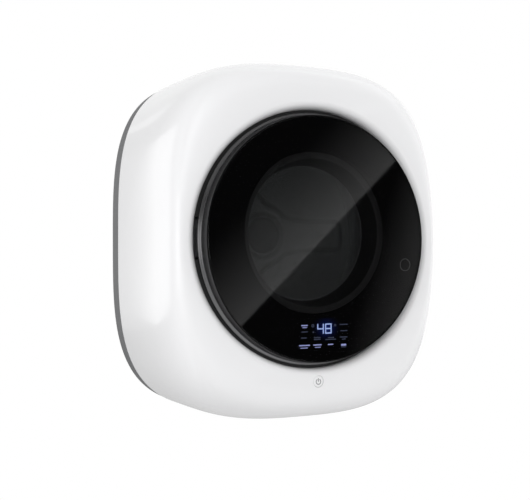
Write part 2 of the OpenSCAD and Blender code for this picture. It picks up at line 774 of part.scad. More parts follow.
motor_span = [50, 140];
rotor_shaft_r = 5;
rotor_r = 28;
module motor_housing() {
    at = [motor_x, motor_z];
    color([0.5, 0.51, 0.53]) {
        difference() {
            barrel(at, motor_span[0], motor_span[1], motor_r);
            barrel(at, motor_span[0] + 4, motor_span[1] - 4, rotor_r + 1);
            barrel(at, motor_span[0] - cut, motor_span[1] + cut, rotor_shaft_r + running_gap);
            for (k = [0 : 11]) facing_front() translate([motor_x, motor_z, 0]) rotate([0, 0, 30 * k])
                translate([16, -2, motor_span[0] - cut]) cube([18, 4, 5 + cut]);
        }
        for (s = [-1, 1]) facing_front(drum_z) rotate([0, 0, motor_angle])
            translate([tub_out_r + 10.8, s * 25 - 7, 92]) cube([10, 14, 10]);
    }
}

module motor_rotor() {
    color([0.66, 0.5, 0.32]) {
        barrel([motor_x, motor_z], motor_span[0] + 8, motor_span[1] - 8, rotor_r);
        barrel([motor_x, motor_z], pulley_back, motor_span[1] - 2, rotor_shaft_r);
    }
}

module motor_pulley() {
    color([0.6, 0.6, 0.62]) spun_at([motor_x, motor_z], concat(
        [[rotor_shaft_r, pulley_back], [motor_pulley_r, pulley_back]],
        grooves(motor_pulley_r, pulley_back + 1.5, pulley_front - 1.5),
        [[motor_pulley_r, pulley_front], [rotor_shaft_r, pulley_front]]));
}

// ---- heating, drain and filter -------------------------------------------

module water_heater() {
    tip = 150;
    color([0.6, 0.58, 0.55]) {
        for (x = [-heater_span, heater_span]) barrel([x, heater_z], tub_back - 12, tip, heater_rod_r);
        facing_front() translate([0, heater_z, tip]) rotate([-90, 0, 0]) rotate([0, 0, 180])
            rotate_extrude(angle = 180) translate([heater_span, 0]) circle(r = heater_rod_r, $fn = 32);
        block([-heater_span - 8, heater_z - 5, tub_back - 6], [heater_span + 8, heater_z + 5,
            tub_back - 0.3]);
    }
}

pump_span = [150, 179.5];
pump_z = -275;
chamber_r = 28;
pump_port_out = 165;
module drain_pump() {
    at = [pump_x, pump_z];
    color([0.88, 0.88, 0.86]) difference() {
        union() {
            barrel(at, pump_span[0], pump_span[1], chamber_r);
            block([pump_x - 19, pump_z - 19, 106], [pump_x + 19, pump_z + 19, pump_span[0] + 1]);
            block([pump_x - 8, pump_z - 8, plate_front], [pump_x + 8, pump_z + 8, 107]);
        }
        barrel(at, pump_span[0] + 4, pump_span[1] - 3, chamber_r - 3);
        barrel(at, 136, pump_span[0] + 5, 2 + running_gap);
        barrel(at, pump_span[1] - 4, pump_span[1] + cut, 11);
        translate([pump_x, -pump_port_out, pump_z]) rotate([0, -90, 0]) cylinder(h = chamber_r + cut,
            r = spigot_r - 2);
    }
}

module pump_impeller() {
    from = pump_span[0] + 6;
    color([0.25, 0.25, 0.27]) {
        barrel([pump_x, pump_z], 138, from + 16, 2);
        barrel([pump_x, pump_z], from, from + 16, 6);
        for (k = [0 : 4]) facing_front() translate([pump_x, pump_z, from]) rotate([0, 0, 72 * k])
            translate([3, -1.2, 0]) cube([17, 2.4, 14]);
    }
}

filter_wall = 3;
filter_top = -240;
filter_mouth = -307;
filter_port = pump_span[1] + 0.3;
module filter_housing() {
    r = filter_r + filter_wall;
    color([0.88, 0.88, 0.86]) difference() {
        union() {
            translate([pump_x, -filter_out, filter_mouth]) cylinder(h = filter_top - filter_mouth, r = r);
            barrel([pump_x, pump_z], filter_port, filter_out - 10, 14);
            translate([pump_x + r - 4, -filter_out, hose_port_z]) rotate([0, 90, 0]) cylinder(h = 12,
                r = sump_bore - 0.2);
        }
        translate([pump_x, -filter_out, filter_mouth - cut]) cylinder(h = filter_top - filter_mouth
            - 4 + cut, r = filter_r);
        barrel([pump_x, pump_z], filter_port - cut, filter_out - 10, 11);
        translate([pump_x, -filter_out, hose_port_z]) rotate([0, 90, 0]) cylinder(h = r + 20,
            r = sump_bore - 3);
    }
}

// Filter plug with a strainer basket, a flange that closes the housing and a finger rib.
module filter_cap() {
    color([0.3, 0.31, 0.33]) translate([pump_x, -filter_out, filter_mouth]) {
        translate([0, 0, -3.3]) cylinder(h = 3, r = filter_r + 2);
        difference() {
            translate([0, 0, -1]) cylinder(h = 26, r = filter_r - running_gap);
            translate([0, 0, 4]) cylinder(h = 30, r = filter_r - 4);
            for (a = [0 : 45 : 135]) rotate([0, 0, a]) translate([-filter_r - cut, -2.5, 8])
                cube([2 * filter_r + 2 * cut, 5, 20]);
        }
        translate([-filter_r + 4, -3, -6.5]) cube([2 * filter_r - 8, 6, 4.5]);
    }
}

sump_bore = 13;
hose_port_z = -262;
sump_bend = 20;
hose_wall = 3.3;
module sump_hose() {
    bore = sump_r + 0.1;
    reach = pump_x + filter_r + filter_wall;
    color([0.16, 0.16, 0.17]) translate([0, -filter_out, 0]) {
        translate([sump_x, 0, hose_port_z + sump_bend]) difference() {
            union() {
                cylinder(h = -hose_port_z - sump_bend - 208, r = bore + hose_wall);
                for (k = [0 : 2]) translate([0, 0, 6 * k + 2]) rotate_extrude() translate([bore
                    + hose_wall - 0.5, 0]) circle(r = 2, $fn = 24);
            }
            translate([0, 0, -cut]) cylinder(h = 80, r = bore);
        }
        translate([sump_x - sump_bend, 0, hose_port_z + sump_bend]) rotate([90, 0, 0]) rotate([0, 0, -90])
            bend(sump_bend, bore + hose_wall, bore);
        translate([reach + 0.4, 0, hose_port_z]) rotate([0, 90, 0])
            pipe(max(sump_x - sump_bend - reach - 0.4, 1), bore + hose_wall, sump_bore);
    }
}

pipe_bend = 12;
elbow_step = 0.4;
module drain_spigot() {
    bore = spigot_r - 2;
    turn = pump_x - chamber_r;
    back = service_out + pipe_bend;
    color([0.82, 0.82, 0.8]) {
        facing_front() translate([turn - 0.2, pump_z, pump_port_out - pipe_bend]) rotate([90, 0, 0])
            rotate([0, 0, 90]) bend(pipe_bend, spigot_r - elbow_step, bore - elbow_step);
        facing_front() translate([drain_x - 0.2, pump_z, back - 0.1])
            pipe(pump_port_out - pipe_bend - back + 0.2, spigot_r, bore);
        facing_front() translate([drain_x - 0.2, pump_z - pipe_bend, back]) rotate([0, 90, 0])
            bend(pipe_bend, spigot_r - elbow_step, bore - elbow_step);
        translate([drain_x - 0.2, -service_out, -outline_height(drain_x) + 5])
            pipe(outline_height(drain_x) - 5 + pump_z - pipe_bend + 0.1, spigot_r, bore);
    }
}

// ---- drying fan ----------------------------------------------------------

fan_at = [88, body_h / 2 - 63];
fan_span = [78, 112];
fan_r = 34;
duct_low = [-25, port_top + fit_gap, 70];
duct_high = [45, body_h / 2 - 33, 232];
module fan_housing() {
    color([0.3, 0.31, 0.33]) {
        difference() {
            union() {
                barrel(fan_at, fan_span[0], fan_span[1], fan_r);
                block([duct_high[0] + 0.3, fan_at[1] - 6, fan_span[0]], [fan_at[0], fan_at[1] + 26,
                    fan_span[1]]);
            }
            barrel(fan_at, fan_span[0] + 3, fan_span[1] - 3, fan_r - 3);
            barrel(fan_at, fan_span[1] - 4, fan_span[1] + cut, 16);
            barrel(fan_at, 60, fan_span[0] + 4, 2.5 + running_gap);
            block([duct_high[0] - cut, fan_at[1] - 3, fan_span[0] + 3], [fan_at[0] - 10, fan_at[1]
                + 23, fan_span[1] - 3]);
        }
        difference() {
            union() {
                barrel(fan_at, 40, fan_span[0], 18);
                barrel(fan_at, plate_front, 40, 9);
            }
            barrel(fan_at, 58, fan_span[0] + cut, 2.5 + running_gap);
        }
    }
}

module dryer_fan() {
    from = fan_span[0] + 5;
    color([0.15, 0.15, 0.16]) {
        barrel(fan_at, 60, from + 2, 2.5);
        barrel(fan_at, from, from + 2.5, 28);
        for (k = [0 : 15]) facing_front() translate([fan_at[0], fan_at[1], from + 2]) rotate([0, 0,
            22.5 * k])
            translate([19, -0.6, 0]) cube([8.5, 1.2, 19]);
    }
}

module heater_duct() {
    wall = [2, 2, 2];
    color([0.68, 0.69, 0.7]) difference() {
        block(duct_low, duct_high);
        block(duct_low + wall, duct_high - wall);
        block([duct_high[0] - 3, fan_at[1] - 3, fan_span[0] + 3], [duct_high[0] + cut, fan_at[1] + 23,
            fan_span[1] - 3]);
        block([-14, duct_low[1] - cut, 206], [14, duct_low[1] + 3, 227]);
    }
}

// ---- controls ------------------------------------------------------------

box_low = [114, 112, plate_front + 0.1];
box_high = [206, 214, 34];
module control_box() {
    wall = [2.5, 2.5, 2.5];
    color([0.86, 0.86, 0.84]) difference() {
        block(box_low, box_high);
        block(box_low + wall, box_high - wall);
        for (k = [0 : 7]) block([box_low[0] + 14 + 9 * k, box_low[1] - cut, 14], [box_low[0] + 18
            + 9 * k, box_low[1] + 3, 26]);
    }
}

module control_board() {
    seat = box_low[2] + 2.5;
    x = box_low[0] + 6;
    z = box_low[1] + 6;
    color([0.1, 0.35, 0.2]) {
        block([x, z, seat + 4], [box_high[0] - 6, box_high[1] - 6, seat + 5.6]);
        for (p = [[4, 4], [70, 4], [4, 80], [70, 80]]) barrel([x + p[0], z + p[1]], seat, seat + 4.5, 2.5);
    }
    color([0.15, 0.15, 0.15]) {
        for (p = [[14, 20], [36, 20], [58, 20]]) block([x + p[0], z + p[1], seat + 5], [x + p[0] + 14,
            z + p[1] + 11, seat + 15]);
        for (p = [[18, 60], [34, 60]]) barrel([x + p[0], z + p[1]], seat + 5, seat + 19, 6);
    }
}

module pressure_switch() {
    at = [24, 196];
    color([0.9, 0.9, 0.88]) {
        barrel(at, plate_front, 12, 10);
        barrel(at, 12, 30, 22);
        translate([at[0], -22, at[1] - 32]) cylinder(h = 12, r = 3);
        barrel(at, 30, 33, 8);
    }
}

module mains_gland() {
    low = -outline_height(gland_x) + 1;
    color([0.12, 0.12, 0.12]) translate([gland_x, -service_out, low]) difference() {
        union() {
            cylinder(h = 26, r = gland_r);
            translate([0, 0, flange_seat]) cylinder(h = 3, r = gland_r + 4, $fn = 6);
        }
        translate([0, 0, -cut]) cylinder(h = 30, r = 4);
    }
}
flange_seat = tongue_inset + tongue_t - 0.3;

button_gap = 0.4;
button_z = button_rise - body_h / 2;
button_front = ring_out + ring_saddle + 0.2;
button_back = button_front - 6;
stem_r = 4;
stem_back = 295.8;
guide_base = 300;
module power_button() {
    color([0.93, 0.93, 0.94]) {
        spun_at([0, button_z], [
            [0, button_back], [button_r, button_back], [button_r, button_front - 0.8],
            [button_r - 0.8, button_front], [0, button_front]]);
        barrel([0, button_z], stem_back, button_back + 1, stem_r);
    }
}

module button_guide() {
    front = button_front - shell_wall - 1.2;
    at = [0, button_z];
    color([0.3, 0.3, 0.32]) {
        difference() {
            barrel(at, 286, front, button_r + 5);
            barrel(at, guide_base, front + cut, button_r + button_gap);
            barrel(at, guide_base - 5, guide_base + cut, stem_r + running_gap);
            barrel(at, 288, guide_base - 4, button_r);
        }
        block([-4, button_z - 4, 287], [4, button_z + 4, stem_back - button_travel - 0.4]);
    }
}

// Coil spring round the button's stem, one unbroken tube.
module button_spring() {
    turns = 5;
    per_turn = 8;
    sides = 6;
    wire = 0.5;
    coil_r = stem_r + 2;
    from = guide_base + 0.3 + wire;
    to = button_back - button_travel - 0.3 - wire;
    count = turns * per_turn;
    points = [for (i = [0 : count], s = [0 : sides - 1])
        let (a = 360 * i / per_turn, b = 360 * s / sides, r = coil_r + wire * cos(b))
        [r * cos(a), r * sin(a), from + (to - from) * i / count + wire * sin(b)]];
    walls = [for (i = [0 : count - 1], s = [0 : sides - 1])
        let (n = (s + 1) % sides, a = i * sides + s, b = i * sides + n, c = b + sides, d = a + sides)
        each [[a, b, c], [a, c, d]]];
    start = [[for (s = [sides - 1 : -1 : 0]) s]];
    end = [[for (s = [0 : sides - 1]) count * sides + s]];
    color([0.75, 0.75, 0.77]) facing_front() translate([0, button_z, 0])
        polyhedron(points, concat(walls, start, end), convexity = 10);
}

// ---- lock and hinge ------------------------------------------------------

lock_back = 256;
plunger_travel = 3;
plunger_back = 264;
striker_t = 4;
striker_h = 14;
striker_back = 270;
module lock_housing() {
    front = fascia_out - fit_gap;
    color([0.2, 0.2, 0.22]) difference() {
        block([lock_x - 12, door_z - 28, lock_back], [lock_x + 17, door_z + 33, front]);
        block([lock_x - slot_w / 2, door_z - slot_h / 2, striker_back - 4], [lock_x + slot_w / 2,
            door_z + slot_h / 2, front + cut]);
        barrel([lock_x, plunger_z], plunger_back - plunger_travel - 0.5, front + cut, plunger_r
            + running_gap);
    }
}

module latch_plunger() {
    front = door_back - 0.3;
    color([0.9, 0.9, 0.9]) spun_at([lock_x, plunger_z], [
        [0, plunger_back], [plunger_r, plunger_back], [plunger_r, front - 2], [plunger_r - 2, front],
            [0, front]]);
}

module door_striker() {
    color([0.7, 0.7, 0.72]) difference() {
        union() {
            block([lock_x - striker_t / 2, door_z - striker_h / 2, striker_back], [lock_x
                + striker_t / 2, door_z + striker_h / 2, door_back]);
            block([lock_x - 14, door_z - striker_h / 2, door_back - 2.5], [lock_x + 4, door_z
                + striker_h / 2, door_back]);
        }
        translate([lock_x - 5, -striker_back - 8, door_z]) rotate([0, 90, 0]) cylinder(h = 10, r = 3.2);
    }
}

arm_low = door_z - 32;
arm_high = door_z + 32;
arm_back = hinge_out - 22;
arm_leg_x = hinge_x + 23;
arm_seat_x = arm_leg_x + 27;
knuckle_r = hinge_pin_r + 2.5;
neck_x = hinge_x - knuckle_r + arm_t / 2;
ear_t = 3;
bracket_back = arm_back - arm_t / 2 - 6;
pin_low = arm_low - 0.3 - ear_t;
pin_high = arm_high + 0.3 + ear_t;

// The door's gooseneck arm: it reaches round the cover's edge when the door is open.
module hinge_arm() {
    half = arm_t / 2;
    color([0.55, 0.56, 0.58]) difference() {
        translate([0, 0, arm_low]) linear_extrude(arm_high - arm_low) rotate(180) mirror([1, 0]) {
            translate([hinge_x, hinge_out]) circle(r = knuckle_r, $fn = 48);
            polygon([[neck_x - half, hinge_out], [neck_x - half, arm_back + 2 - half], [neck_x + 2
                - half, arm_back - half],
                     [arm_leg_x + half, arm_back - half], [arm_leg_x + half, door_back - arm_t],
                     [arm_seat_x, door_back - arm_t], [arm_seat_x, door_back],
                     [arm_leg_x - half, door_back], [arm_leg_x - half, arm_back + half],
                     [neck_x + half, arm_back + half], [neck_x + half, hinge_out]]);
        }
        translate([hinge_x, -hinge_out, arm_low - cut]) cylinder(h = arm_high - arm_low + 2 * cut,
            r = hinge_pin_r + running_gap);
        block([hinge_x - knuckle_r - cut, door_z - 15, arm_back - arm_t], [arm_leg_x - arm_t, door_z
            + 15, hinge_out + knuckle_r + cut]);
    }
}

module hinge_bracket() {
    ear_low = [hinge_x - knuckle_r, bracket_back];
    tab_x = [hinge_x + knuckle_r + 0.5, -fascia_wall_r - 0.5];
    color([0.6, 0.61, 0.63]) {
        difference() {
            for (z = [arm_low - 0.3 - ear_t, arm_high + 0.3]) translate([0, 0, z]) linear_extrude(ear_t)
                rotate(180) mirror([1, 0]) {
                    translate([hinge_x, hinge_out]) circle(r = knuckle_r, $fn = 48);
                    translate(ear_low) square([2 * knuckle_r, hinge_out - bracket_back]);
                    translate(ear_low) square([tab_x[1] - ear_low[0], bracket_tab - bracket_back]);
                }
            translate([hinge_x, -hinge_out, arm_low - 2 * ear_t]) cylinder(h = arm_high - arm_low
                + 4 * ear_t, r = hinge_pin_r);
        }
        block([ear_low[0], pin_low, bracket_back], [tab_x[1], pin_high, bracket_back + ear_t]);
        for (z = [pin_low - 13, pin_high]) block([tab_x[0], z, bracket_tab - ear_t], [tab_x[1], z + 13,
            bracket_tab]);
    }
}
bracket_tab = lip_out - fit_gap - fascia_t - 0.3;

module hinge_pin() {
    color([0.75, 0.75, 0.77]) translate([hinge_x, -hinge_out, pin_low - 2]) {
        cylinder(h = pin_high - pin_low + 2, r = hinge_pin_r);
        translate([0, 0, -2]) cylinder(h = 2, r = hinge_pin_r + 2);
    }
}

// ---- door ----------------------------------------------------------------

glass_back = door_front - glass_t;
frame_wall = 3;
frame_r = glass_r + 0.5;
rim_pocket_r = bowl_rim_r + 3;
display_x = [-48, 60];
display_z = [-197, -136];

module door_glass() {
    color([0.05, 0.05, 0.06]) spun(door_z, [
        [0, glass_back], [glass_r, glass_back], [glass_r, door_front - 0.6], [glass_r - 0.6,
            door_front], [0, door_front]]);
}

module door_bezel() {
    color([0.35, 0.36, 0.37]) spun(door_z, [
        [glass_r + 0.2, door_front - 0.4], [bezel_front_r - 0.8, door_front - 0.4], [bezel_front_r,
            door_front - 1.2],
        [bezel_front_r + 1.5, door_back + 6], [bezel_front_r + 2.2, door_back + 4.4],
        [bezel_foot_r - 3, door_back + 3.6], [bezel_foot_r - 1, door_back + 2.9],
        [bezel_foot_r, door_back + 1.6], [bezel_foot_r, door_back],
        [frame_r, door_back], [frame_r, glass_back - 0.3], [glass_r + 0.2, glass_back - 0.3]]);
}

module door_frame() {
    color([0.06, 0.06, 0.07]) difference() {
        spun(door_z, [[20, door_back], [frame_r, door_back], [frame_r, glass_back - 0.4], [20,
            glass_back - 0.4]]);
        difference() {
            spun(door_z, [[20, door_back + frame_wall], [frame_r - frame_wall, door_back + frame_wall],
                          [frame_r - frame_wall, glass_back - 0.4 - frame_wall], [20, glass_back
                              - 0.4 - frame_wall]]);
            barrel([0, drum_z], door_back, glass_back, rim_pocket_r + frame_wall);
        }
        barrel([0, drum_z], door_back - cut, door_back + frame_wall + cut, bowl_r(door_back + 3) + fit_gap);
        barrel([0, drum_z], door_back + frame_wall, glass_back + cut, rim_pocket_r);
        block([display_x[0], display_z[0], glass_back - 5], [display_x[1], display_z[1], glass_back]);
    }
}

module door_bowl() {
    seat = door_back + 3;
    color([0.6, 0.62, 0.64]) spun(drum_z, [
        [bowl_mouth_r, seat + 0.2], [bowl_mouth_r + 2, seat + 3.8], [bowl_rim_r, seat + 3.8],
            [bowl_rim_r, seat + 0.2],
        [bowl_mouth_r + bowl_wall, seat + 0.2], [bowl_end_r + bowl_wall, bowl_end], [bowl_end_r + 1,
            bowl_end - 1.5],
        [60, bowl_end - 3], [0, bowl_end - 3.5], [0, bowl_end - 0.5], [60, bowl_end], [bowl_end_r - 1,
            bowl_end + 1.5],
        [bowl_end_r, bowl_end + 3]]);
}

module display_module() {
    edge = 2;
    seat = glass_back - 0.4 - frame_wall;
    color([0.05, 0.08, 0.2]) {
        block([display_x[0] - edge, display_z[0] - edge, seat - 8.3], [display_x[1] + edge,
            display_z[1] + 0.5, seat - 0.3]);
        block([display_x[0] + 0.5, display_z[0] + 0.5, seat - 1], [display_x[1] - 0.5, display_z[1]
            - 0.5, glass_back - 0.5]);
    }
}

module door_screws() {
    color([0.65, 0.65, 0.67]) {
        for (z = [arm_low + 12, arm_high - 12]) barrel([arm_seat_x - 9, z], door_back - arm_t - 2.2,
            door_back - arm_t, 4);
        for (a = [45 : 90 : 315]) facing_front(drum_z) translate([158 * cos(a), 158 * sin(a),
            door_back - 2.2])
            cylinder(h = 2.2, r = 3.5);
    }
}

// ---- what is drawn -------------------------------------------------------

rear_plate();
rear_casing();
wall_pads();
front_cover();
cover_screws();
front_fascia();
dispenser_tray();
fill_hose();
inlet_valve();
tub_rear();
tub_front();
tub_seal();
tub_screws();
tub_mounts();
front_bearing();
rear_bearing();
shaft_seal();
door_gasket();
gasket_clamp();
motor_housing();
drive_belt();
drain_pump();
sump_hose();
filter_housing();
drain_spigot();
water_heater();
pressure_switch();
control_box();
control_board();
mains_gland();
button_guide();
button_spring();
lock_housing();
hinge_bracket();
hinge_pin();
fan_housing();
heater_duct();
drum_shell();
drum_back_panel();
drum_front_panel();
drum_lifters();
drum_spider();
drum_shaft();
drum_pulley();
pulley_bolt();
motor_rotor();
motor_pulley();
pump_impeller();
dryer_fan();
filter_cap();
power_button();
latch_plunger();
door_glass();
door_bezel();
door_frame();
door_bowl();
display_module();
hinge_arm();
door_striker();
door_screws();
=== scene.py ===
# %% [markdown]
# # A wall mounted washing machine, dressed for its picture
# This lesson takes the exact solids of a small washing machine that hangs on a wall and gives them
# the looks of the real one. The solids come in as a fixed frame, one object for each piece, already
# in place. We add finer shells where a smooth highlight would show up the facets of a solid, the
# printing and the lit digits behind the glass, a finish for each material, and a small studio.

# %% Bring in the solids
import json
import math

import bmesh
import bpy
import numpy as np
from mathutils import Matrix, Vector
from mathutils.bvhtree import BVHTree
from mathutils.geometry import delaunay_2d_cdt
from mathutils.interpolate import poly_3d_calc


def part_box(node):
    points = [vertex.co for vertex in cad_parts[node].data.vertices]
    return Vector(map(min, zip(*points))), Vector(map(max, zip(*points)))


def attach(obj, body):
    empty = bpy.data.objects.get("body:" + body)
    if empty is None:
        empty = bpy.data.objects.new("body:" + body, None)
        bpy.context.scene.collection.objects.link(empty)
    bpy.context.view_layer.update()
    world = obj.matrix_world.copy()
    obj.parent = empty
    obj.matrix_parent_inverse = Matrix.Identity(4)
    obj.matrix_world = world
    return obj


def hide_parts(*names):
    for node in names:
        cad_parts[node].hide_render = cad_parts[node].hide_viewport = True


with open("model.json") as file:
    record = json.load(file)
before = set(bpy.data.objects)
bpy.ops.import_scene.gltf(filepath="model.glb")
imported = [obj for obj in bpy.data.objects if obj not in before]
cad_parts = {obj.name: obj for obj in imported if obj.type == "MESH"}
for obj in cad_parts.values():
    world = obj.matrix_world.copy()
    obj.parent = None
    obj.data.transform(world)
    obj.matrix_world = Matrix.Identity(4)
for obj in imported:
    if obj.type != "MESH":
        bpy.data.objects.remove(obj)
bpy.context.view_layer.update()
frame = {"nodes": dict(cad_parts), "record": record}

MM = 0.001

# %% [markdown]
# ## Where the camera stands
# A product photographer steps back and uses a longish lens, so that the round door stays round.
# We place the camera first, because it tells us which small things are worth making. Its place is
# worked out from the point it aims at and three numbers: how far it has walked round the machine,
# how far it is lifted, and how far away it is. A fourth number is its slight roll.

# %% Camera
PICTURE = (530, 500)
CAMERA_ROUND = math.radians(-26.933)
CAMERA_LIFT = math.radians(-0.555)
CAMERA_ROLL = math.radians(-0.169)
CAMERA_AWAY = 1801.03 * MM
CAMERA_AIM = Vector((-25.954, -160, -15.268)) * MM
FOCAL_PIXELS = 951.397
SENSOR = 36

back = Vector((math.sin(CAMERA_ROUND) * math.cos(CAMERA_LIFT),
               -math.cos(CAMERA_ROUND) * math.cos(CAMERA_LIFT), math.sin(CAMERA_LIFT)))
level_right = Vector((0, 0, 1)).cross(back).normalized()
level_up = back.cross(level_right)
right = math.cos(CAMERA_ROLL) * level_right + math.sin(CAMERA_ROLL) * level_up
up = math.cos(CAMERA_ROLL) * level_up - math.sin(CAMERA_ROLL) * level_right
eye = CAMERA_AIM + back * CAMERA_AWAY

camera_data = bpy.data.cameras.new("camera")
camera_data.sensor_width = SENSOR
camera_data.lens = FOCAL_PIXELS * SENSOR / PICTURE[0]
camera = bpy.data.objects.new("camera", camera_data)
bpy.context.scene.collection.objects.link(camera)
camera.matrix_world = Matrix([(right[i], up[i], back[i], eye[i]) for i in range(3)]
                             + [(0, 0, 0, 1)])
bpy.context.scene.camera = camera
print("lens:", round(camera_data.lens, 2), "mm at", [round(v, 3) for v in eye])

# %% [markdown]
# ## Writing shader maths as sums
# A finish is a network of nodes, and a network is tedious to wire by hand. Two small classes make
# it readable. `Wire` stands for one output socket and knows how to be added, subtracted,
# multiplied, divided and raised, so `0.2 + 0.1 * grain` builds its Math nodes by itself. `Network`
# holds the tree, and its one method `node` adds any other kind of node.

# %% Wires and networks
class Wire:
    """An output socket that can stand in a sum, on either side of a number."""

    def __init__(self, network, socket):
        self.network, self.socket = network, socket

    def _sum(self, operation, first, second):
        return self.network.node("ShaderNodeMath", {"operation": operation}, {0: first, 1: second})

    def __add__(self, other):
        return self._sum("ADD", self, other)

    __radd__ = __add__

    def __sub__(self, other):
        return self._sum("SUBTRACT", self, other)

    def __rsub__(self, other):
        return self._sum("SUBTRACT", other, self)

    def __mul__(self, other):
        return self._sum("MULTIPLY", self, other)

    __rmul__ = __mul__

    def __truediv__(self, other):
        return self._sum("DIVIDE", self, other)

    def __rtruediv__(self, other):
        return self._sum("DIVIDE", other, self)

    def __pow__(self, other):
        return self._sum("POWER", self, other)


class Network:
    """A node tree being filled, for a finish or for the studio's world."""

    def __init__(self, tree):
        self.tree = tree
        tree.nodes.clear()

    def node(self, kind, settings={}, inputs={}, out=0):
        """Adds a node: its settings, then its sockets' values or wires. Returns one output."""
        made = self.tree.nodes.new(kind)
        for name, value in settings.items():
            if name == "stops":
                ramp = made.color_ramp
                ramp.elements[0].position, ramp.elements[0].color = value[0]
                ramp.elements[1].position, ramp.elements[1].color = value[-1]
                for place, colour in value[1:-1]:
                    ramp.elements.new(place).color = colour
            else:
                setattr(made, name, value)
        for name, value in inputs.items():
            if isinstance(value, Wire):
                self.tree.links.new(value.socket, made.inputs[name])
            else:
                made.inputs[name].default_value = value
        return Wire(self, made.outputs[out])

    def mix(self, share, first, second):
        """Colours blended by a share."""
        return self.node("ShaderNodeMix", {"data_type": "RGBA"}, {0: share, 6: first, 7: second}, 2)

    def step(self, value, low, high, kind="SMOOTHSTEP"):
        """0 below low and 1 above high, with a soft ramp between them, or a straight one."""
        return self.node("ShaderNodeMapRange", {"interpolation_type": kind},
                         {0: value, 1: low, 2: high, 3: 0.0, 4: 1.0})

    def larger(self, first, second):
        return self.node("ShaderNodeMath", {"operation": "MAXIMUM"}, {0: first, 1: second})

    def parts(self, vector):
        """The x, y and z of a vector."""
        made = self.tree.nodes.new("ShaderNodeSeparateXYZ")
        self.tree.links.new(vector.socket, made.inputs[0])
        return [Wire(self, socket) for socket in made.outputs]

    def place(self, stretch=(1, 1, 1)):
        """Where a point lies on the piece itself, in metres, so a pattern stays with it."""
        here = self.node("ShaderNodeTexCoord", out="Object")
        return self.node("ShaderNodeMapping", {}, {"Vector": here, "Scale": stretch})

    def rays(self, *kinds):
        """For each kind of ray, 1 where the light path is one of it."""
        return [self.node("ShaderNodeLightPath", out=f"Is {kind} Ray") for kind in kinds]

    def noise(self, scale, detail=3, rough=0.5, stretch=(1, 1, 1)):
        return self.node("ShaderNodeTexNoise", {},
                         {"Vector": self.place(stretch), "Scale": scale, "Detail": detail,
                          "Roughness": rough})

    def bump(self, height, depth, normal=None):
        """Relief whose full height is depth, over the plain surface or over other relief."""
        sockets = {"Height": height, "Distance": depth, "Strength": 1.0}
        if normal:
            sockets["Normal"] = normal
        return self.node("ShaderNodeBump", {}, sockets)

    def end(self, shader, kind="ShaderNodeOutputMaterial"):
        self.tree.links.new(shader.socket, self.tree.nodes.new(kind).inputs["Surface"])


def grey(value):
    return (value, value, value, 1.0)


def rgb(red, green, blue):
    return (red, green, blue, 1.0)


def dimmed(tone, share):
    return tuple(share * part for part in tone[:3]) + (1.0,)


# %% [markdown]
# ## Finishes
# Nothing real has one flat colour. Moulded plastic carries a fine grain and its shine changes a
# little from place to place; rolled steel has streaks along one direction; a casting is pebbly.
# Most finishes here share one recipe: a base colour that drifts between two close tones, a
# roughness that drifts with it, and a bump. One function makes them all, and its arguments say what
# is different.

# %% The common recipe
FINISHES = {}


def new_finish(name):
    """An empty network in a new material, which the shelf of finishes keeps under its name."""
    made = bpy.data.materials.new(name)
    made.use_nodes = True
    FINISHES[name] = made
    return Network(made.node_tree)


def finish(name, tone, other, rough, drift=0.06, cloud=9.0, grain=700.0, grain_depth=0.02 * MM,
           stretch=(1, 1, 1), metal=0.0, coat=0.0, specular=0.5):
    """A material whose colour, shine and surface drift gently. Sizes are in metres."""
    net = new_finish(name)
    clouds = net.noise(cloud, 4)
    grains = net.noise(grain, 2, 0.6, stretch)
    shader = net.node("ShaderNodeBsdfPrincipled", {}, {
        "Base Color": net.mix(clouds, tone, other),
        "Roughness": rough - drift / 2 + drift * (0.5 * clouds + 0.5 * grains),
        "Metallic": metal,
        "Specular IOR Level": specular,
        "Coat Weight": coat,
        "Coat Roughness": 0.05,
        "Normal": net.bump(grains, grain_depth)})
    net.end(shader)


# %% [markdown]
# ## The plain finishes
# The hidden pieces matter too, since the door opens and the back can be seen. Brushed steel
# gets its streaks by squeezing the noise along one axis, rubber is rough and faintly dusty, and a
# casting has a coarse, deep grain.

# %% Plastics, rubbers and metals
finish("casing_grey", rgb(0.15, 0.152, 0.156), rgb(0.172, 0.174, 0.178), 0.58, grain=1400,
       grain_depth=0.03 * MM, specular=0.3)
finish("panel_grey", rgb(0.02, 0.0205, 0.021), rgb(0.026, 0.0265, 0.027), 0.4, grain=1200,
       grain_depth=0.03 * MM)
finish("black_plastic", rgb(0.012, 0.012, 0.013), rgb(0.018, 0.018, 0.02), 0.38, grain=1300,
       grain_depth=0.03 * MM)
finish("cream_plastic", rgb(0.7, 0.7, 0.66), rgb(0.76, 0.76, 0.72), 0.36, grain=900)
finish("tub_plastic", rgb(0.4, 0.42, 0.44), rgb(0.5, 0.52, 0.54), 0.45, cloud=40, grain=500,
       grain_depth=0.05 * MM)
finish("rubber_black", rgb(0.016, 0.016, 0.016), rgb(0.03, 0.03, 0.03), 0.62, grain=900,
       grain_depth=0.06 * MM)
finish("rubber_grey", rgb(0.09, 0.093, 0.097), rgb(0.12, 0.123, 0.127), 0.55, grain=800,
       grain_depth=0.05 * MM)
finish("steel", rgb(0.5, 0.5, 0.51), rgb(0.6, 0.6, 0.61), 0.3, metal=1.0, cloud=60, grain=900)
finish("plate_steel", rgb(0.5, 0.51, 0.52), rgb(0.6, 0.61, 0.62), 0.38, metal=0.6, cloud=70,
       grain=600, drift=0.2)
finish("cast_aluminium", rgb(0.52, 0.53, 0.55), rgb(0.6, 0.61, 0.63), 0.48, metal=0.9, cloud=30,
       grain=420, grain_depth=0.12 * MM)
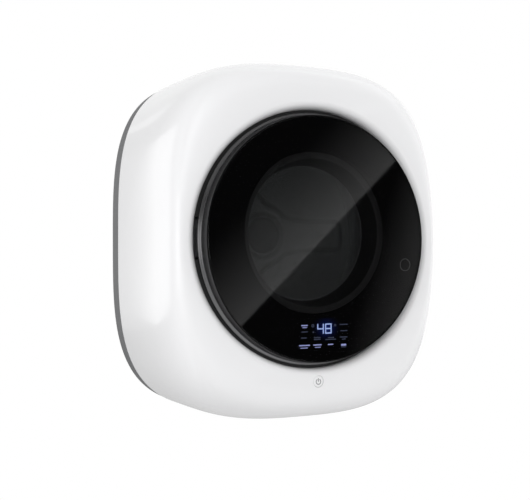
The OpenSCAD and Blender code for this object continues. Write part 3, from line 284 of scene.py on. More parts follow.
finish("stainless", rgb(0.6, 0.61, 0.62), rgb(0.68, 0.69, 0.7), 0.3, metal=1.0, cloud=14, grain=90,
       stretch=(1, 14, 14), grain_depth=0.02 * MM)
finish("motor_grey", rgb(0.1, 0.105, 0.115), rgb(0.13, 0.135, 0.145), 0.35, grain=600, coat=0.3)
finish("dark_chrome", rgb(0.2, 0.2, 0.205), rgb(0.23, 0.23, 0.235), 0.26, drift=0.04, metal=1.0,
       grain=300, grain_depth=0.004 * MM)
finish("mask_black", rgb(0.0006, 0.0006, 0.0007), rgb(0.001, 0.001, 0.0011), 0.5, grain=900,
       specular=0.0)
finish("gloss_black", rgb(0.003, 0.003, 0.0032), rgb(0.005, 0.005, 0.0053), 0.14, drift=0.03,
       grain=500, grain_depth=0.004 * MM, specular=0.15)
finish("satin_black", rgb(0.006, 0.006, 0.0063), rgb(0.009, 0.009, 0.0095), 0.4, grain=900,
       specular=0.3)
finish("rim_grey", rgb(0.04, 0.041, 0.042), rgb(0.05, 0.051, 0.052), 0.36, grain=900)
print("finishes so far:", len(FINISHES))

# %% [markdown]
# The drum's back is one pressed sheet. Its colour carries painted shade: darker on the slopes of
# the star and darker still on the face of the hub, where the relief would lie in shade. How far a
# point stands out says where it is.

# %% Pressed steel
def steel_with_painted_shade(name, flat_out, slope, hub):
    """Painted shade: darker where the height over the flat sheet, in millimetres, is that of a
    slope or the hub.
    """
    net = new_finish(name)
    height = net.parts(net.place())[1] * -1000.0 - flat_out
    # painted shade: drawn marks the star's slopes, and the colour is darkened there and more on the
    # hub face
    drawn = net.step(height, slope[0], slope[1]) * (1 - net.step(height, slope[2], slope[3]))
    shade = 1 - 0.32 * drawn - 0.5 * net.step(height, *hub)
    streaks = net.noise(240.0, 2, 0.6)
    shader = net.node("ShaderNodeBsdfPrincipled", {}, {
        "Base Color": net.mix(shade, rgb(0.2, 0.2, 0.2), net.mix(
            streaks, rgb(0.76, 0.79, 0.78), rgb(0.86, 0.89, 0.88))),
        "Metallic": 0.3,
        "Roughness": 0.34 + 0.08 * streaks,
        "Normal": net.bump(streaks, 0.01 * MM)})
    net.end(shader)


steel_with_painted_shade("drum_steel", 92.2, (0.4, 2, 5, 6.7), (7.6, 8.6))

# %% [markdown]
# A circuit board is green lacquer over copper tracks. The edges of a grid of cells stand for the
# tracks, and they stand up a little, as copper does under its lacquer.

# %% Circuit board
def board_finish():
    """Green lacquer over tracks: the tracks are the edges of a grid of cells."""
    net = new_finish("board_green")
    cells = net.node("ShaderNodeTexVoronoi", {"feature": "DISTANCE_TO_EDGE"},
                     {"Vector": net.place((1, 1, 2)), "Scale": 260.0})
    track = 1 - net.step(cells, 0.03, 0.06)
    shader = net.node("ShaderNodeBsdfPrincipled", {}, {
        "Base Color": net.mix(track, rgb(0.01, 0.09, 0.035), rgb(0.03, 0.2, 0.08)),
        "Roughness": 0.3 + 0.1 * track,
        "Normal": net.bump(track, 0.05 * MM)})
    net.end(shader)


board_finish()

# %% [markdown]
# ## Glass that does not slow the render
# The door is a smoked pane over a black frame, with a moulded bowl behind its window. Real
# refraction would need many samples, and the pane is flat, so it bends nothing that we could see.
# Plain alpha does the same work: part of the light goes straight through and the rest meets a very
# smooth dark surface that mirrors the studio.

# %% Panes
def pane(name, tone, alpha, rough, index, smear=0.0):
    """A clear or smoked moulding, with faint wiped smears in its tone and its shine."""
    net = new_finish(name)
    smears = net.noise(14.0, 4, 0.6, (1, 1, 3))
    shader = net.node("ShaderNodeBsdfPrincipled", {}, {
        "Base Color": net.mix(smears, tone, dimmed(tone, 0.8)),
        "Roughness": rough + smear * smears,
        "Alpha": alpha,
        "IOR": index})
    net.end(shader)


pane("dark_glass", rgb(0.001, 0.001, 0.0012), 0.42, 0.012, 1.62, smear=0.012)
pane("clear_bowl", rgb(0.25, 0.26, 0.27), 0.12, 0.06, 1.5, smear=0.03)
pane("bead_clear", rgb(0.5, 0.52, 0.54), 0.7, 0.2, 1.5)

# %% [markdown]
# ## The white cover
# The cover is a thick glossy moulding, almost white with the slightest cool cast. A clear top
# layer gives it the sharp reflections of the softboxes, and a very shallow, broad ripple keeps
# their edges from looking ruled, as on any large moulding.

# %% White gloss
def white_gloss(tone, other):
    net = new_finish("white_gloss")
    clouds = net.noise(5.0, 3)
    ripple = net.noise(26.0, 2)
    peel = net.noise(420.0, 1)
    relief = net.bump(peel, 0.002 * MM, normal=net.bump(ripple, 0.012 * MM))
    shader = net.node("ShaderNodeBsdfPrincipled", {}, {
        "Base Color": net.mix(clouds, tone, other),
        "Roughness": 0.2 + 0.06 * clouds,
        "Coat Weight": 0.6,
        "Coat Roughness": 0.03,
        "Normal": relief})
    net.end(shader)


white_gloss(rgb(0.83, 0.83, 0.84), rgb(0.86, 0.86, 0.87))

# %% [markdown]
# ## What glows and what is printed
# The digits behind the glass are lit, so they are an emission with a little unevenness, as behind
# a diffuser. Their glow spills over the display's black face, strongest beside the digits, and
# fades with distance. The printed marks only reflect.

# %% Lit and printed marks
def lit(name, tone, strength):
    net = new_finish(name)
    spots = net.noise(160.0, 1)
    glow = net.mix(spots, tone, dimmed(tone, 0.75))
    shader = net.node("ShaderNodeBsdfPrincipled", {}, {
        "Base Color": net.mix(spots, rgb(0.05, 0.05, 0.06), rgb(0.03, 0.03, 0.04)),
        "Roughness": 0.4,
        "Emission Color": glow,
        "Emission Strength": strength})
    net.end(shader)


lit("display_bright", rgb(0.42, 0.55, 1.0), 2.5)
lit("display_label", rgb(0.46, 0.5, 0.95), 2.0)
lit("display_dim", rgb(0.3, 0.36, 0.62), 0.3)


def halo():
    """The face of the display, black but for the digits' own glow, which fades with distance."""
    squeeze, reach = 1.2, 40 * MM
    net = new_finish("halo_blue")
    away = net.node("ShaderNodeVectorMath", {"operation": "DISTANCE"}, {
        0: net.place((1, 0, squeeze)), 1: (13 * MM, 0, squeeze * -155 * MM)}, "Value")
    fade = net.step(reach - away, 0, reach, "LINEAR") ** 4.3
    face = net.mix(net.noise(300.0, 1), rgb(0.0006, 0.0006, 0.001), rgb(0.001, 0.001, 0.0016))
    shader = net.node("ShaderNodeBsdfPrincipled", {}, {
        "Base Color": face,
        "Roughness": 0.5,
        "Specular IOR Level": 0.0,
        "Emission Color": net.mix(fade, rgb(0.0, 0.0, 0.0), rgb(0.04, 0.12, 1.0)),
        "Emission Strength": 0.42})
    net.end(shader)


halo()
finish("display_dark", rgb(0.002, 0.002, 0.006), rgb(0.004, 0.004, 0.012), 0.3, grain=500)
finish("printed_grey", rgb(0.42, 0.43, 0.44), rgb(0.48, 0.49, 0.5), 0.5, grain=500)
finish("inlay_grey", rgb(0.22, 0.22, 0.23), rgb(0.26, 0.26, 0.27), 0.45, grain=500)
print("finishes:", len(FINISHES))

# %% [markdown]
# ## Dressing the solids
# The record that comes with the solids names a finish for each of them. Most solids are shown as
# they are, so all they need is that finish in their material slot. Two that lie behind the glass
# get a duller black, so that they show nothing through it.

# %% Assign
SLOTS = {row["node"]: row["material_slot"] for row in frame["record"]["subparts"]}
for name, solid in frame["nodes"].items():
    solid.data.materials.clear()
    solid.data.materials.append(FINISHES[SLOTS[name]])
for name in ("door_frame", "display_module"):
    frame["nodes"][name].data.materials[0] = FINISHES["mask_black"]
print("dressed:", len(SLOTS))

# %% [markdown]
# ## Helpers that make meshes
# We draw in the maker's own way: x to the right, z up, and `out` the distance from the wall, all in
# millimetres. `at` turns such a point into the room's metres. `piece` makes an object from points
# and faces, shades it smooth except along real edges, and lets it ride on a body, so that it
# moves with the door or the drum.

# %% Mesh helpers
def at(x, z, out):
    return (x * MM, -out * MM, z * MM)


def new_object(name, points, faces):
    """An object in the scene whose faces all look outwards."""
    mesh = bpy.data.meshes.new(name)
    mesh.from_pydata([tuple(p) for p in points], [], [tuple(f) for f in faces])
    mesh.validate()
    made = bpy.data.objects.new(name, mesh)
    bpy.context.scene.collection.objects.link(made)
    turned = bmesh.new()
    turned.from_mesh(mesh)
    bmesh.ops.recalc_face_normals(turned, faces=turned.faces)
    turned.to_mesh(mesh)
    turned.free()
    return made


def piece(name, points, faces, body, look, edge=30.0):
    """A visible piece, smooth except along edges sharper than so many degrees."""
    made = new_object(name, points, faces)
    mesh = made.data
    mesh.polygons.foreach_set("use_smooth", [True] * len(mesh.polygons))
    mesh.set_sharp_from_angle(angle=math.radians(edge))
    mesh.materials.append(FINISHES[look])
    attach(made, body)
    return made


def ring_faces(rows, steps, closed):
    """Quads between rings of points; closed joins the last ring to the first."""
    return [(i * steps + j, i * steps + (j + 1) % steps,
             (i + 1) % rows * steps + (j + 1) % steps, (i + 1) % rows * steps + j)
            for i in range(rows if closed else rows - 1) for j in range(steps)]


def loft(name, rings, body, look):
    """A ring-shaped solid whose section runs through all the rings and back to the first."""
    points = [p for ring in rings for p in ring]
    return piece(name, points, ring_faces(len(rings), len(rings[0]), True), body, look)


def circle(steps):
    return [2 * math.pi * k / steps for k in range(steps)]


def revolve(name, height, profile, body, look):
    """A closed profile of (radius, out) turned about an axis that faces front, at a height."""
    rings = [[at(r * math.cos(t), height + r * math.sin(t), out) for t in circle(240)]
             for r, out in profile]
    return loft(name, rings, body, look)


# %% [markdown]
# ## Cutting holes without spoiling the shine
# A Boolean leaves long thin faces round a hole, and on a glossy curved surface their shading shows.
# The cure is to remember the normals of the uncut surface and to put them back on every corner
# that still lies on it.

# %% Carving
def drill(centre, direction, length, radius, steps=96):
    """A rod to cut with, from centre along direction. Everything in metres."""
    along = Vector(direction).normalized()
    side = along.orthogonal().normalized()
    over = along.cross(side)
    points = [Vector(centre) + along * reach + radius * (math.cos(t) * side + math.sin(t) * over)
              for reach in (0, length) for t in circle(steps)]
    ends = [tuple(range(steps))[::-1], tuple(range(steps, 2 * steps))]
    return new_object("rod", points, ring_faces(2, steps, False) + ends)


def carve(body_piece, rods):
    """Cuts the rods out of a piece, then restores the smooth normals of what is left."""
    mesh = body_piece.data
    corners = [Vector(n.vector) for n in mesh.corner_normals]
    points = [v.co.copy() for v in mesh.vertices]
    faces = [tuple(p.vertices) for p in mesh.polygons]
    starts = [p.loop_start for p in mesh.polygons]
    tree = BVHTree.FromPolygons(points, faces)
    for rod in rods:
        cut = body_piece.modifiers.new("cut", "BOOLEAN")
        cut.operation, cut.solver, cut.object = "DIFFERENCE", "EXACT", rod
    done = bpy.data.meshes.new_from_object(
        body_piece.evaluated_get(bpy.context.evaluated_depsgraph_get()))
    body_piece.modifiers.clear()
    body_piece.data = done
    normals = []
    for polygon in done.polygons:
        for k in polygon.loop_indices:
            spot = done.vertices[done.loops[k].vertex_index].co.lerp(polygon.center, 0.02)
            where, _, index, _ = tree.find_nearest(spot)
            weights = poly_3d_calc([points[i] for i in faces[index]], where)
            smooth = sum((w * corners[starts[index] + i] for i, w in enumerate(weights)), Vector())
            keep = smooth.length > 0 and smooth.normalized().dot(polygon.normal) > 0.8
            normals.append(smooth.normalized() if keep else polygon.normal.copy())
    done.normals_split_custom_set(normals)
    for rod in rods:
        bpy.data.objects.remove(rod)
    return body_piece


# %% [markdown]
# ## The body's shape
# Seen from the front the body is a superellipse: a rectangle whose corners have been swollen until
# nothing on it is straight. From the casing the cover rises with a second, squarer superellipse and
# turns over into a nearly flat front, which ends at the round recess of the door. The recess's
# edge isn't flat: it dips at the sides and rises at the top and bottom, like a saddle. All of
# that is three formulas, and the shells below only sample them finely.

# %% Formulas of the body
BODY_W, BODY_H = 550, 650
OUTLINE_POWER, SECTION_POWER = 3.42, 4.5
CASING_D, CASING_TAPER = 38, 2
SHELL_WALL = 3
DOOR_Z, DRUM_Z = 3, 14
RING_R, RING_OUT, RING_SADDLE, LIP_OUT = 228.5, 309.5, 5.2, 296
RING_FILLET, INNER_FILLET = 15, 6
ROUND = 360
TURNS = np.linspace(0, 2 * np.pi, ROUND, endpoint=False)


def outline(inset):
    """The body's outline as (x, z) rows, drawn in by an inset."""
    across, tall = BODY_W / 2 - inset, BODY_H / 2 - inset
    reach = ((np.abs(np.cos(TURNS)) / across) ** OUTLINE_POWER
             + (np.abs(np.sin(TURNS)) / tall) ** OUTLINE_POWER) ** (-1 / OUTLINE_POWER)
    return np.stack([reach * np.cos(TURNS), reach * np.sin(TURNS)], 1)


def recess(radius):
    return np.stack([radius * np.cos(TURNS), DOOR_Z + radius * np.sin(TURNS)], 1)


RING_EDGE = RING_OUT - RING_SADDLE * np.cos(2 * TURNS)


def row(flat, out):
    """A ring of room points from (x, z) rows and a distance out, alike or one for each."""
    outs = np.broadcast_to(out, (len(flat),))
    return [at(x, z, o) for (x, z), o in zip(flat, outs)]


def cover_row(turn, inset, rounding):
    """One ring of the cover: turn runs from 0 at the casing to 90 degrees at the recess."""
    wide = math.cos(math.radians(turn)) ** (2 / SECTION_POWER) if turn < 90 else 0.0
    deep = math.sin(math.radians(turn)) ** (2 / SECTION_POWER)
    near, far = recess(RING_R + rounding + inset), outline(inset)
    return row(near + (far - near) * wide, CASING_D + (RING_EDGE - inset - CASING_D) * deep)


def even_turns(count):
    """Turns whose rings crowd where a nominal section bends, and lie evenly elsewhere."""
    width, depth, bend_share = 45, 270, 0.9
    fine = np.radians(np.linspace(0, 90, 20001))
    wide = width * np.cos(fine) ** (2 / SECTION_POWER)
    deep = depth * np.sin(fine) ** (2 / SECTION_POWER)
    run = np.hypot(np.diff(wide), np.diff(deep))
    bend = np.abs(np.diff(np.unwrap(np.arctan2(np.diff(deep), np.diff(wide))), append=0))
    weight = run / run.sum() + bend_share * bend / max(bend.sum(), 1e-9)
    length = np.concatenate([[0], np.cumsum(weight)])
    return np.degrees(np.interp(np.linspace(0, length[-1], count), length, fine))


# %% [markdown]
# ## The cover, finer than its solid
# The solid of this shell is made of flat facets, which a softbox's reflection would find at once.
# This copy follows the same formulas with four times as many points, and has the same holes: for
# the power button, the filter and two screws. Its edge at the recess turns over in a quarter
# circle. The flat lip cuts that circle off early at the sides, where the saddle dips, so that the
# door's arm still clears it.

# %% Rounded edge of the recess
FILLET_ROWS, LIP_MARGIN = 15, 0.3
LIP_LEAN = np.arccos(np.clip(1 - (RING_EDGE - LIP_OUT - LIP_MARGIN) / RING_FILLET, 0, 1))


def fillet_radius(share):
    return RING_R + RING_FILLET * (1 - np.sin(share * LIP_LEAN))


def fillet_row(share):
    """One ring of the edge: share runs from 0 at its crest to 1 where the lip cuts it off."""
    return row(recess(fillet_radius(share)),
               RING_EDGE - RING_FILLET * (1 - np.cos(share * LIP_LEAN)))


rounded = [fillet_row(k / FILLET_ROWS) for k in range(1, FILLET_ROWS + 1)]
print("lip cuts at", [round(v, 1) for v in np.degrees([LIP_LEAN.min(), LIP_LEAN.max()])], "degrees")

# %% Cover shell
UP, DOWN, FORWARD = (0, 0, 1), (0, 0, -1), (0, -1, 0)
BUTTON_Z, BUTTON_HOLE = -248, 10.4
FILTER_X, FILTER_OUT, FILTER_HOLE = -110, 205, 26
SCREW_X, SCREW_OUT, SCREW_HOLE, SCREW_TUNNEL = 30, 43, 4.3, 1.9
UNDERSIDE_START = -280


def from_below(x, out, radius):
    return drill(at(x, UNDERSIDE_START, out), DOWN, 100 * MM, radius * MM)


def screw_rods(radius):
    """The two screws that join the cover to the casing at the underside."""
    return [from_below(side * SCREW_X, SCREW_OUT, radius) for side in (-1, 1)]


outer = [cover_row(t, 0, RING_FILLET) for t in even_turns(72)]
lip = [row(recess(fillet_radius(1)), LIP_OUT), row(recess(RING_R + SHELL_WALL), LIP_OUT)]
inner = [cover_row(t, SHELL_WALL, INNER_FILLET) for t in even_turns(30)[::-1]]
cover_shell = loft("cover_shell", outer + rounded + lip + inner, "body", "white_gloss")
carve(cover_shell, [drill(at(0, BUTTON_Z, 280), FORWARD, 60 * MM, BUTTON_HOLE * MM),
                    from_below(FILTER_X, FILTER_OUT, FILTER_HOLE)] + screw_rods(SCREW_HOLE))
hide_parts("front_cover")
print("cover:", len(cover_shell.data.polygons), "faces")

# %% [markdown]
# ## The casing
# The shallow tray at the back has the same outline, a tongue that the cover slides over and a
# flange that the steel plate lies on. Its holes are for the water inlet above, and for the drain,
# the cable's gland and two screws below.

# %% Casing shell
TONGUE_IN, TONGUE_T, TONGUE_H = 3.3, 2.5, 8
FLANGE_W, PLATE_OUT = 16, 4
casing_shell = loft("casing_shell", [
    row(outline(CASING_TAPER), 0), row(outline(CASING_TAPER - 0.6), 0.8),
    row(outline(0.4), CASING_D - 1), row(outline(0.7), CASING_D),
    row(outline(TONGUE_IN), CASING_D), row(outline(TONGUE_IN), CASING_D + TONGUE_H),
    row(outline(TONGUE_IN + TONGUE_T), CASING_D + TONGUE_H),
    row(outline(TONGUE_IN + TONGUE_T), PLATE_OUT), row(outline(FLANGE_W), PLATE_OUT),
    row(outline(FLANGE_W), 0)], "body", "casing_grey")
SERVICE_HOLES = {"water": (-100, 200, UP, 16), "drain": (-150, -200, DOWN, 16),
                 "gland": (60, -200, DOWN, 8.3)}
carve(casing_shell, [drill(at(x, z, CASING_D / 2), way, 200 * MM, radius * MM)
                     for x, z, way, radius in SERVICE_HOLES.values()] + screw_rods(SCREW_TUNNEL))
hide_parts("rear_casing")
print("casing:", len(casing_shell.data.polygons), "faces")

# %% [markdown]
# ## The ring round the glass
# A dark metal ring lines the recess. Seen from the camera it is three bands: a foot that slopes out
# towards the cover, a line where the foot turns up, and a satin wall. Its front edge, beside
# the glass, is black and glossy. Two turned profiles with a few more points at each bend give
# the bands soft edges, which the solid's sharp corners can't.

# %% Bezel
bezel_wall = revolve("bezel_wall", DOOR_Z, [
    (217, 323.3), (217.5, 317), (218.4, 305.4), (218.7, 304.3), (219.4, 303.4), (220.6, 302.8),
    (222.3, 302.2), (223.3, 301.5), (223.9, 300.5), (224, 299), (214.9, 299), (214.9, 321.8)],
    "door", "dark_chrome")
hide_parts("door_bezel")
bezel_nose = revolve("bezel_nose", DOOR_Z, [
    (214.8, 321.8), (214.8, 324.3), (215.1, 324.6), (216.1, 324.6), (216.6, 324.4), (216.95, 324),
    (217, 323.3)], "door", "gloss_black")
print("bezel:", len(bezel_wall.data.polygons) + len(bezel_nose.data.polygons), "faces")

# %% [markdown]
# ## The bowl behind the glass
# The real bowl is one clear moulding, but only its flat end is left clear: its cone is
# blacked out, and its rim shows as a slightly lighter ring. The solid gives the whole bowl one
# finish, so we make these three parts, and a fine bead where the end meets the cone, which catches
# the light as a thin bright line.

# %% Bowl
bowl_cone = revolve("bowl_cone", DRUM_Z, [
    (130.9, 302.4), (131.5, 303.6), (134, 302.4), (134, 302.2), (124.1, 264.4), (123.6, 263.6),
    (122.3, 263.4), (121.1, 264.2), (121.1, 265.2)], "door", "satin_black")
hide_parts("door_bowl")
revolve("bowl_rim", DRUM_Z, [
    (131.5, 303.6), (132.6, 305.5), (133.3, 305.8), (142.7, 305.8), (143, 305.5), (143, 302.4),
    (142.7, 302.2), (134, 302.2)], "door", "rim_grey")
revolve("bowl_end", DRUM_Z, [
    (0.05, 263.9), (60, 264.2), (119, 265.4), (121.2, 266.2), (121.2, 264.4), (119, 263.7),
    (60, 262.6), (0.05, 262.3)], "door", "clear_bowl")
revolve("bowl_bead", DRUM_Z, [
    (120.9 + 0.7 * math.cos(math.radians(a)), 266.6 + 0.7 * math.sin(math.radians(a)))
    for a in range(0, 360, 45)], "door", "bead_clear")

# %% [markdown]
# ## The drum's back
# Through the window we see the back of the drum: a sheet with a three-armed star pressed into it
# and drain holes between the arms. A press leaves no sharp edges, so the star is a height over the
# sheet that rises smoothly across a band 22 mm wide, and a groove runs round the hub. The holes lie
# in staggered rows, four in each gap between two arms.

# %% Height of the pressed star
DRUM_IN, DRUM_BACK, SHEET, STAR_H, BAND = 203.8, 91, 1.2, 7, 11
ARM_HALF, ARM_FLARE, FLARE_END, ARM_FADE = 29, 25, 120, (168, 192)
HUB_FADE, HUB_FACE, HUB_RISE, GROOVE = (50, 72), (33, 38), 2.4, 2.2
HOLE_R, HOLE_PITCH, HOLE_STEP, HOLE_FIRST, GAP_SPREAD = 2, 25, 18, 84, 0.72


def soft(value, low, high):
    share = np.clip((value - low) / (high - low), 0, 1)
    return share * share * (3 - 2 * share)


def star_height(x, z):
    """How far the sheet stands out at a place on it, from 0 to the height of the hub."""
    radius = np.hypot(x, z)
    fold = np.pi / 3 - np.abs(np.mod(np.arctan2(z, x), 2 * np.pi / 3) - np.pi / 3)
    along, across = radius * np.cos(fold), radius * np.sin(fold)
    half = ARM_HALF + ARM_FLARE * (1 - np.minimum(along, FLARE_END) / FLARE_END) ** 2
    arm = (1 - soft(across, half - BAND, half + BAND)) * (1 - soft(radius, *ARM_FADE))
    groove = GROOVE * (soft(radius, 36, 41) - soft(radius, 43, 52))
    hub = HUB_RISE * (1 - soft(radius, *HUB_FACE)) - groove
    return np.maximum(STAR_H * np.maximum(arm, 1 - soft(radius, *HUB_FADE)) + hub, 0)


holes = []
for arm in range(3):
    lean = math.radians(120 * arm + 60)
    for line in range(4):
        along = HOLE_FIRST + HOLE_STEP * line
        shift = 0 if line % 2 else 0.5
        for k in range(-3 + line % 2, 3):
            across = (k + shift) * HOLE_PITCH
            if abs(across) < GAP_SPREAD * along:
                holes.append((along * math.cos(lean) - across * math.sin(lean),
                              along * math.sin(lean) + across * math.cos(lean)))

# %% [markdown]
# Round holes in such a surface are easiest when the flat drawing is cut into triangles first, with
# the circles as fixed edges, and lifted afterwards. A triangular grid of points fills the sheet,
# and keeps off its rim and off the circles. The triangles inside the circles are dropped.

# %% Flat drawing
GRID, RIM_CLEAR, HOLE_CLEAR = 4.2, 2, 1.2
flat, fixed = [], []


def add_circle(centre, radius, steps):
    first = len(flat)
    flat.extend(Vector((centre[0] + radius * math.cos(t), centre[1] + radius * math.sin(t)))
                for t in circle(steps))
    fixed.extend((first + k, first + (k + 1) % steps) for k in range(steps))


def clear_of_holes(spot):
    return all((spot - Vector(hole)).length > HOLE_R + HOLE_CLEAR for hole in holes)


add_circle((0, 0), DRUM_IN, 180)
for hole in holes:
    add_circle(hole, HOLE_R, 16)
line_gap = GRID * 0.866
most_across, most_up = math.ceil(DRUM_IN / GRID), math.ceil(DRUM_IN / line_gap)
for i in range(-most_across, most_across + 1):
    for j in range(-most_up, most_up + 1):
        spot = Vector((GRID * (i + 0.5 * (j % 2)), line_gap * j))
        if spot.length < DRUM_IN - RIM_CLEAR and clear_of_holes(spot):
            flat.append(spot)
grid, _, triangles, *_ = delaunay_2d_cdt(flat, fixed, [], 1, 1e-5)
print("points in the flat drawing:", len(grid))

# %% Lifted sheet
flat_now = np.array([tuple(p) for p in grid])
heights = star_height(flat_now[:, 0], flat_now[:, 1])
hole_array = np.array(holes)


def off_the_holes(corners):
    middle = flat_now[list(corners)].mean(0)
    return np.hypot(*(hole_array - middle).T).min() > HOLE_R - 0.05


kept = [tuple(corners) for corners in triangles if off_the_holes(corners)]
count = len(flat_now)
rear, front = ([at(x, DRUM_Z + z, DRUM_BACK + thick + h) for (x, z), h in zip(flat_now, heights)]
               for thick in (0, SHEET))
used = {}
for a, b, c in kept:
    for edge in ((a, b), (b, c), (c, a)):
        used[frozenset(edge)] = None if frozenset(edge) in used else edge
walls = [(b, a, a + count, b + count) for a, b in filter(None, used.values())]
drum_back = piece("drum_back", front + rear,
                  kept + [tuple(i + count for i in t[::-1]) for t in kept] + walls,
                  "drum", "drum_steel", edge=50)
revolve("drum_back_rim", DRUM_Z, [
    (DRUM_IN, DRUM_BACK), (DRUM_IN, DRUM_BACK + 9), (DRUM_IN - SHEET, DRUM_BACK + 9),
    (DRUM_IN - SHEET, DRUM_BACK)], "drum", "drum_steel")
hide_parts("drum_back_panel")
print("drum back:", len(kept), "triangles,", len(holes), "holes")

# %% [markdown]
# ## Marks on flat faces
# Everything printed or lit is a thin plate with a real outline, a fraction of a millimetre thick. A
# plate comes from one closed outline, given as x and z in millimetres, and lies between two
# distances out. Rounded bars, strokes and rings are enough to draw all the marks of this machine.

# %% Plates
def bar(low, high, corner, steps=5):
    """The outline of a bar with rounded corners."""
    corner = min(corner, (high[0] - low[0]) / 2, (high[1] - low[1]) / 2)
    middles = [(high[0] - corner, high[1] - corner, 0), (low[0] + corner, high[1] - corner, 90),
               (low[0] + corner, low[1] + corner, 180), (high[0] - corner, low[1] + corner, 270)]
    return [(x + corner * math.cos(math.radians(a + 90 * k / steps)),
             z + corner * math.sin(math.radians(a + 90 * k / steps)))
            for x, z, a in middles for k in range(steps + 1)]


def stroke(start, end, width, steps=6):
    """A straight stroke with round ends."""
    run = math.atan2(end[1] - start[1], end[0] - start[0])
    return [(x + width / 2 * math.cos(a), z + width / 2 * math.sin(a))
            for (x, z), first in ((end, run - math.pi / 2), (start, run + math.pi / 2))
            for a in (first + math.pi * k / steps for k in range(steps + 1))]


def arc(centre, radius, width, start=0, end=360, steps=72):
    """Part of a ring, or all of it, as quads between two circles."""
    turns = [math.radians(start + (end - start) * k / steps) for k in range(steps + 1)]
    return [[(centre[0] + r * math.cos(t), centre[1] + r * math.sin(t)) for t in turns]
            for r in (radius - width / 2, radius + width / 2)]


def plates(name, outlines, rings, low, high, body, look):
    """One piece from many outlines and rings, each raised from low to high."""
    points, faces = [], []
    for shape in outlines:
        first, n = len(points), len(shape)
        points += [at(x, z, low) for x, z in shape] + [at(x, z, high) for x, z in shape]
        faces += [tuple(first + k for k in range(n)), tuple(first + n + k for k in range(n))[::-1]]
        faces += [(first + k, first + (k + 1) % n, first + n + (k + 1) % n, first + n + k)
                  for k in range(n)]
    for inside, outside in rings:
        first, n = len(points), len(inside)
        whole = math.dist(inside[0], inside[-1]) < 1e-6
        n -= whole
        for level in (low, high):
            points += [at(x, z, level) for x, z in inside[:n] + outside[:n]]
        for k in range(n if whole else n - 1):
            a, b = k, (k + 1) % n
            faces += [(first + a, first + b, first + n + b, first + n + a),
                      (first + 2 * n + a, first + 3 * n + a, first + 3 * n + b, first + 2 * n + b),
                      (first + a, first + 2 * n + a, first + 2 * n + b, first + b),
                      (first + n + a, first + n + b, first + 3 * n + b, first + 3 * n + a)]
        if not whole:
            faces += [(first, first + n, first + 3 * n, first + 2 * n),
                      (first + n - 1, first + 3 * n - 1, first + 4 * n - 1, first + 2 * n - 1)]
    return piece(name, points, faces, body, look)


# %% [markdown]
# ## The display
# Behind the lower part of the glass sits a display. Two large digits are strokes of a seven-segment
# figure, and small bars and dots stand for the words round them, which a generic part leaves out.
# Their places were read off the picture and cast back onto the display's own face, which lies a few
# millimetres behind the glass.

# %% Digits
DISPLAY_FACE = 320.5
DIGIT_BASE, DIGIT_TALL, DIGIT_WIDE, STROKE = -163.0, 15.8, 11.2, 2.1


def figure(segments, x):
    """Strokes of a seven-segment figure whose lower left corner is at x."""
    base, mid, top = DIGIT_BASE, DIGIT_BASE + DIGIT_TALL / 2, DIGIT_BASE + DIGIT_TALL
    far = x + DIGIT_WIDE
    places = {"a": ((x, top), (far, top)), "b": ((far, mid), (far, top)),
              "c": ((far, base), (far, mid)), "d": ((x, base), (far, base)),
              "e": ((x, base), (x, mid)), "f": ((x, mid), (x, top)), "g": ((x, mid), (far, mid))}
    return [stroke(*places[s], STROKE) for s in segments]


def on_display(name, outlines, rings, thickness, look):
    plates(name, outlines, rings, DISPLAY_FACE, DISPLAY_FACE + thickness, "door", look)


on_display("display_digits", figure("bcfg", -4.3) + figure("abcdefg", 11.6), [], 0.15,
           "display_bright")
on_display("display_glow", [bar((-44, -193), (61, -132), 4)], [], 0.05, "halo_blue")


# %% [markdown]
# The smaller marks come in two brightnesses. Each row below is the left end, the right end, the
# height of the middle and the thickness of one bar, in millimetres.

# %% Labels
def bars(rows):
    return [bar((x0, z - t / 2), (x1, z + t / 2), t / 3) for x0, x1, z, t in rows]


BRIGHT = [(-37.5, -24.2, -148.3, 1.9), (-35, -25.9, -151.9, 1.3), (-41.8, -20.2, -183.0, 2.0),
          (-39.6, -24.4, -187.4, 1.3), (-13.5, 3.3, -183.0, 2.0), (-10.2, 1.6, -187.2, 1.3),
          (16.1, 27.2, -183.2, 1.8), (43.2, 53.9, -185.0, 3.2)]
DIM = [(-37.2, -24.3, -159.4, 1.8), (-37.9, -26.3, -169.9, 2.0), (-12.3, 1.2, -170.2, 2.0),
       (-12.3, 1.2, -173.4, 2.0), (16.1, 28.9, -171.2, 1.8), (11.0, 32.7, -174.3, 1.8),
       (40.2, 57.5, -148.8, 1.8), (41.9, 56.6, -160.0, 1.8), (41.0, 56.6, -171.2, 2.0),
       (45.0, 53.0, -174.9, 1.6), (43.2, 53.9, -188.4, 2.6)]
DOTS = [arc((-14.2, -149.3), 2.1, 1.7), arc((31.1, -149.7), 1.6, 1.5),
        arc((-13.2, -160.4), 1.0, 1.2)]
on_display("display_labels", bars(BRIGHT), [], 0.1, "display_label")
on_display("display_dim_labels", bars(DIM), DOTS, 0.1, "display_dim")

# %% [markdown]
# ## Two printed marks
# The door has no handle. It opens when it is pushed, and a thin ring at its right edge, printed on
# the back of the glass, shows where. The power button carries the usual open ring and stroke.

# %% Push mark and power symbol
PRINT_FACE = 320.65
plates("push_mark", [], [arc((181.4, -43.7), 10.9, 0.8)], PRINT_FACE, PRINT_FACE + 0.15, "door",
       "printed_grey")
BUTTON_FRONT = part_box("power_button")[0].y / -MM
symbol_ring = arc((0, BUTTON_Z - 0.3), 4.6, 1.5, 118, 422)
plates("power_symbol", [stroke((0, BUTTON_Z + 0.2), (0, BUTTON_Z + 5.2), 1.5)], [symbol_ring],
       BUTTON_FRONT - 0.05, BUTTON_FRONT + 0.08, "power_button", "inlay_grey")

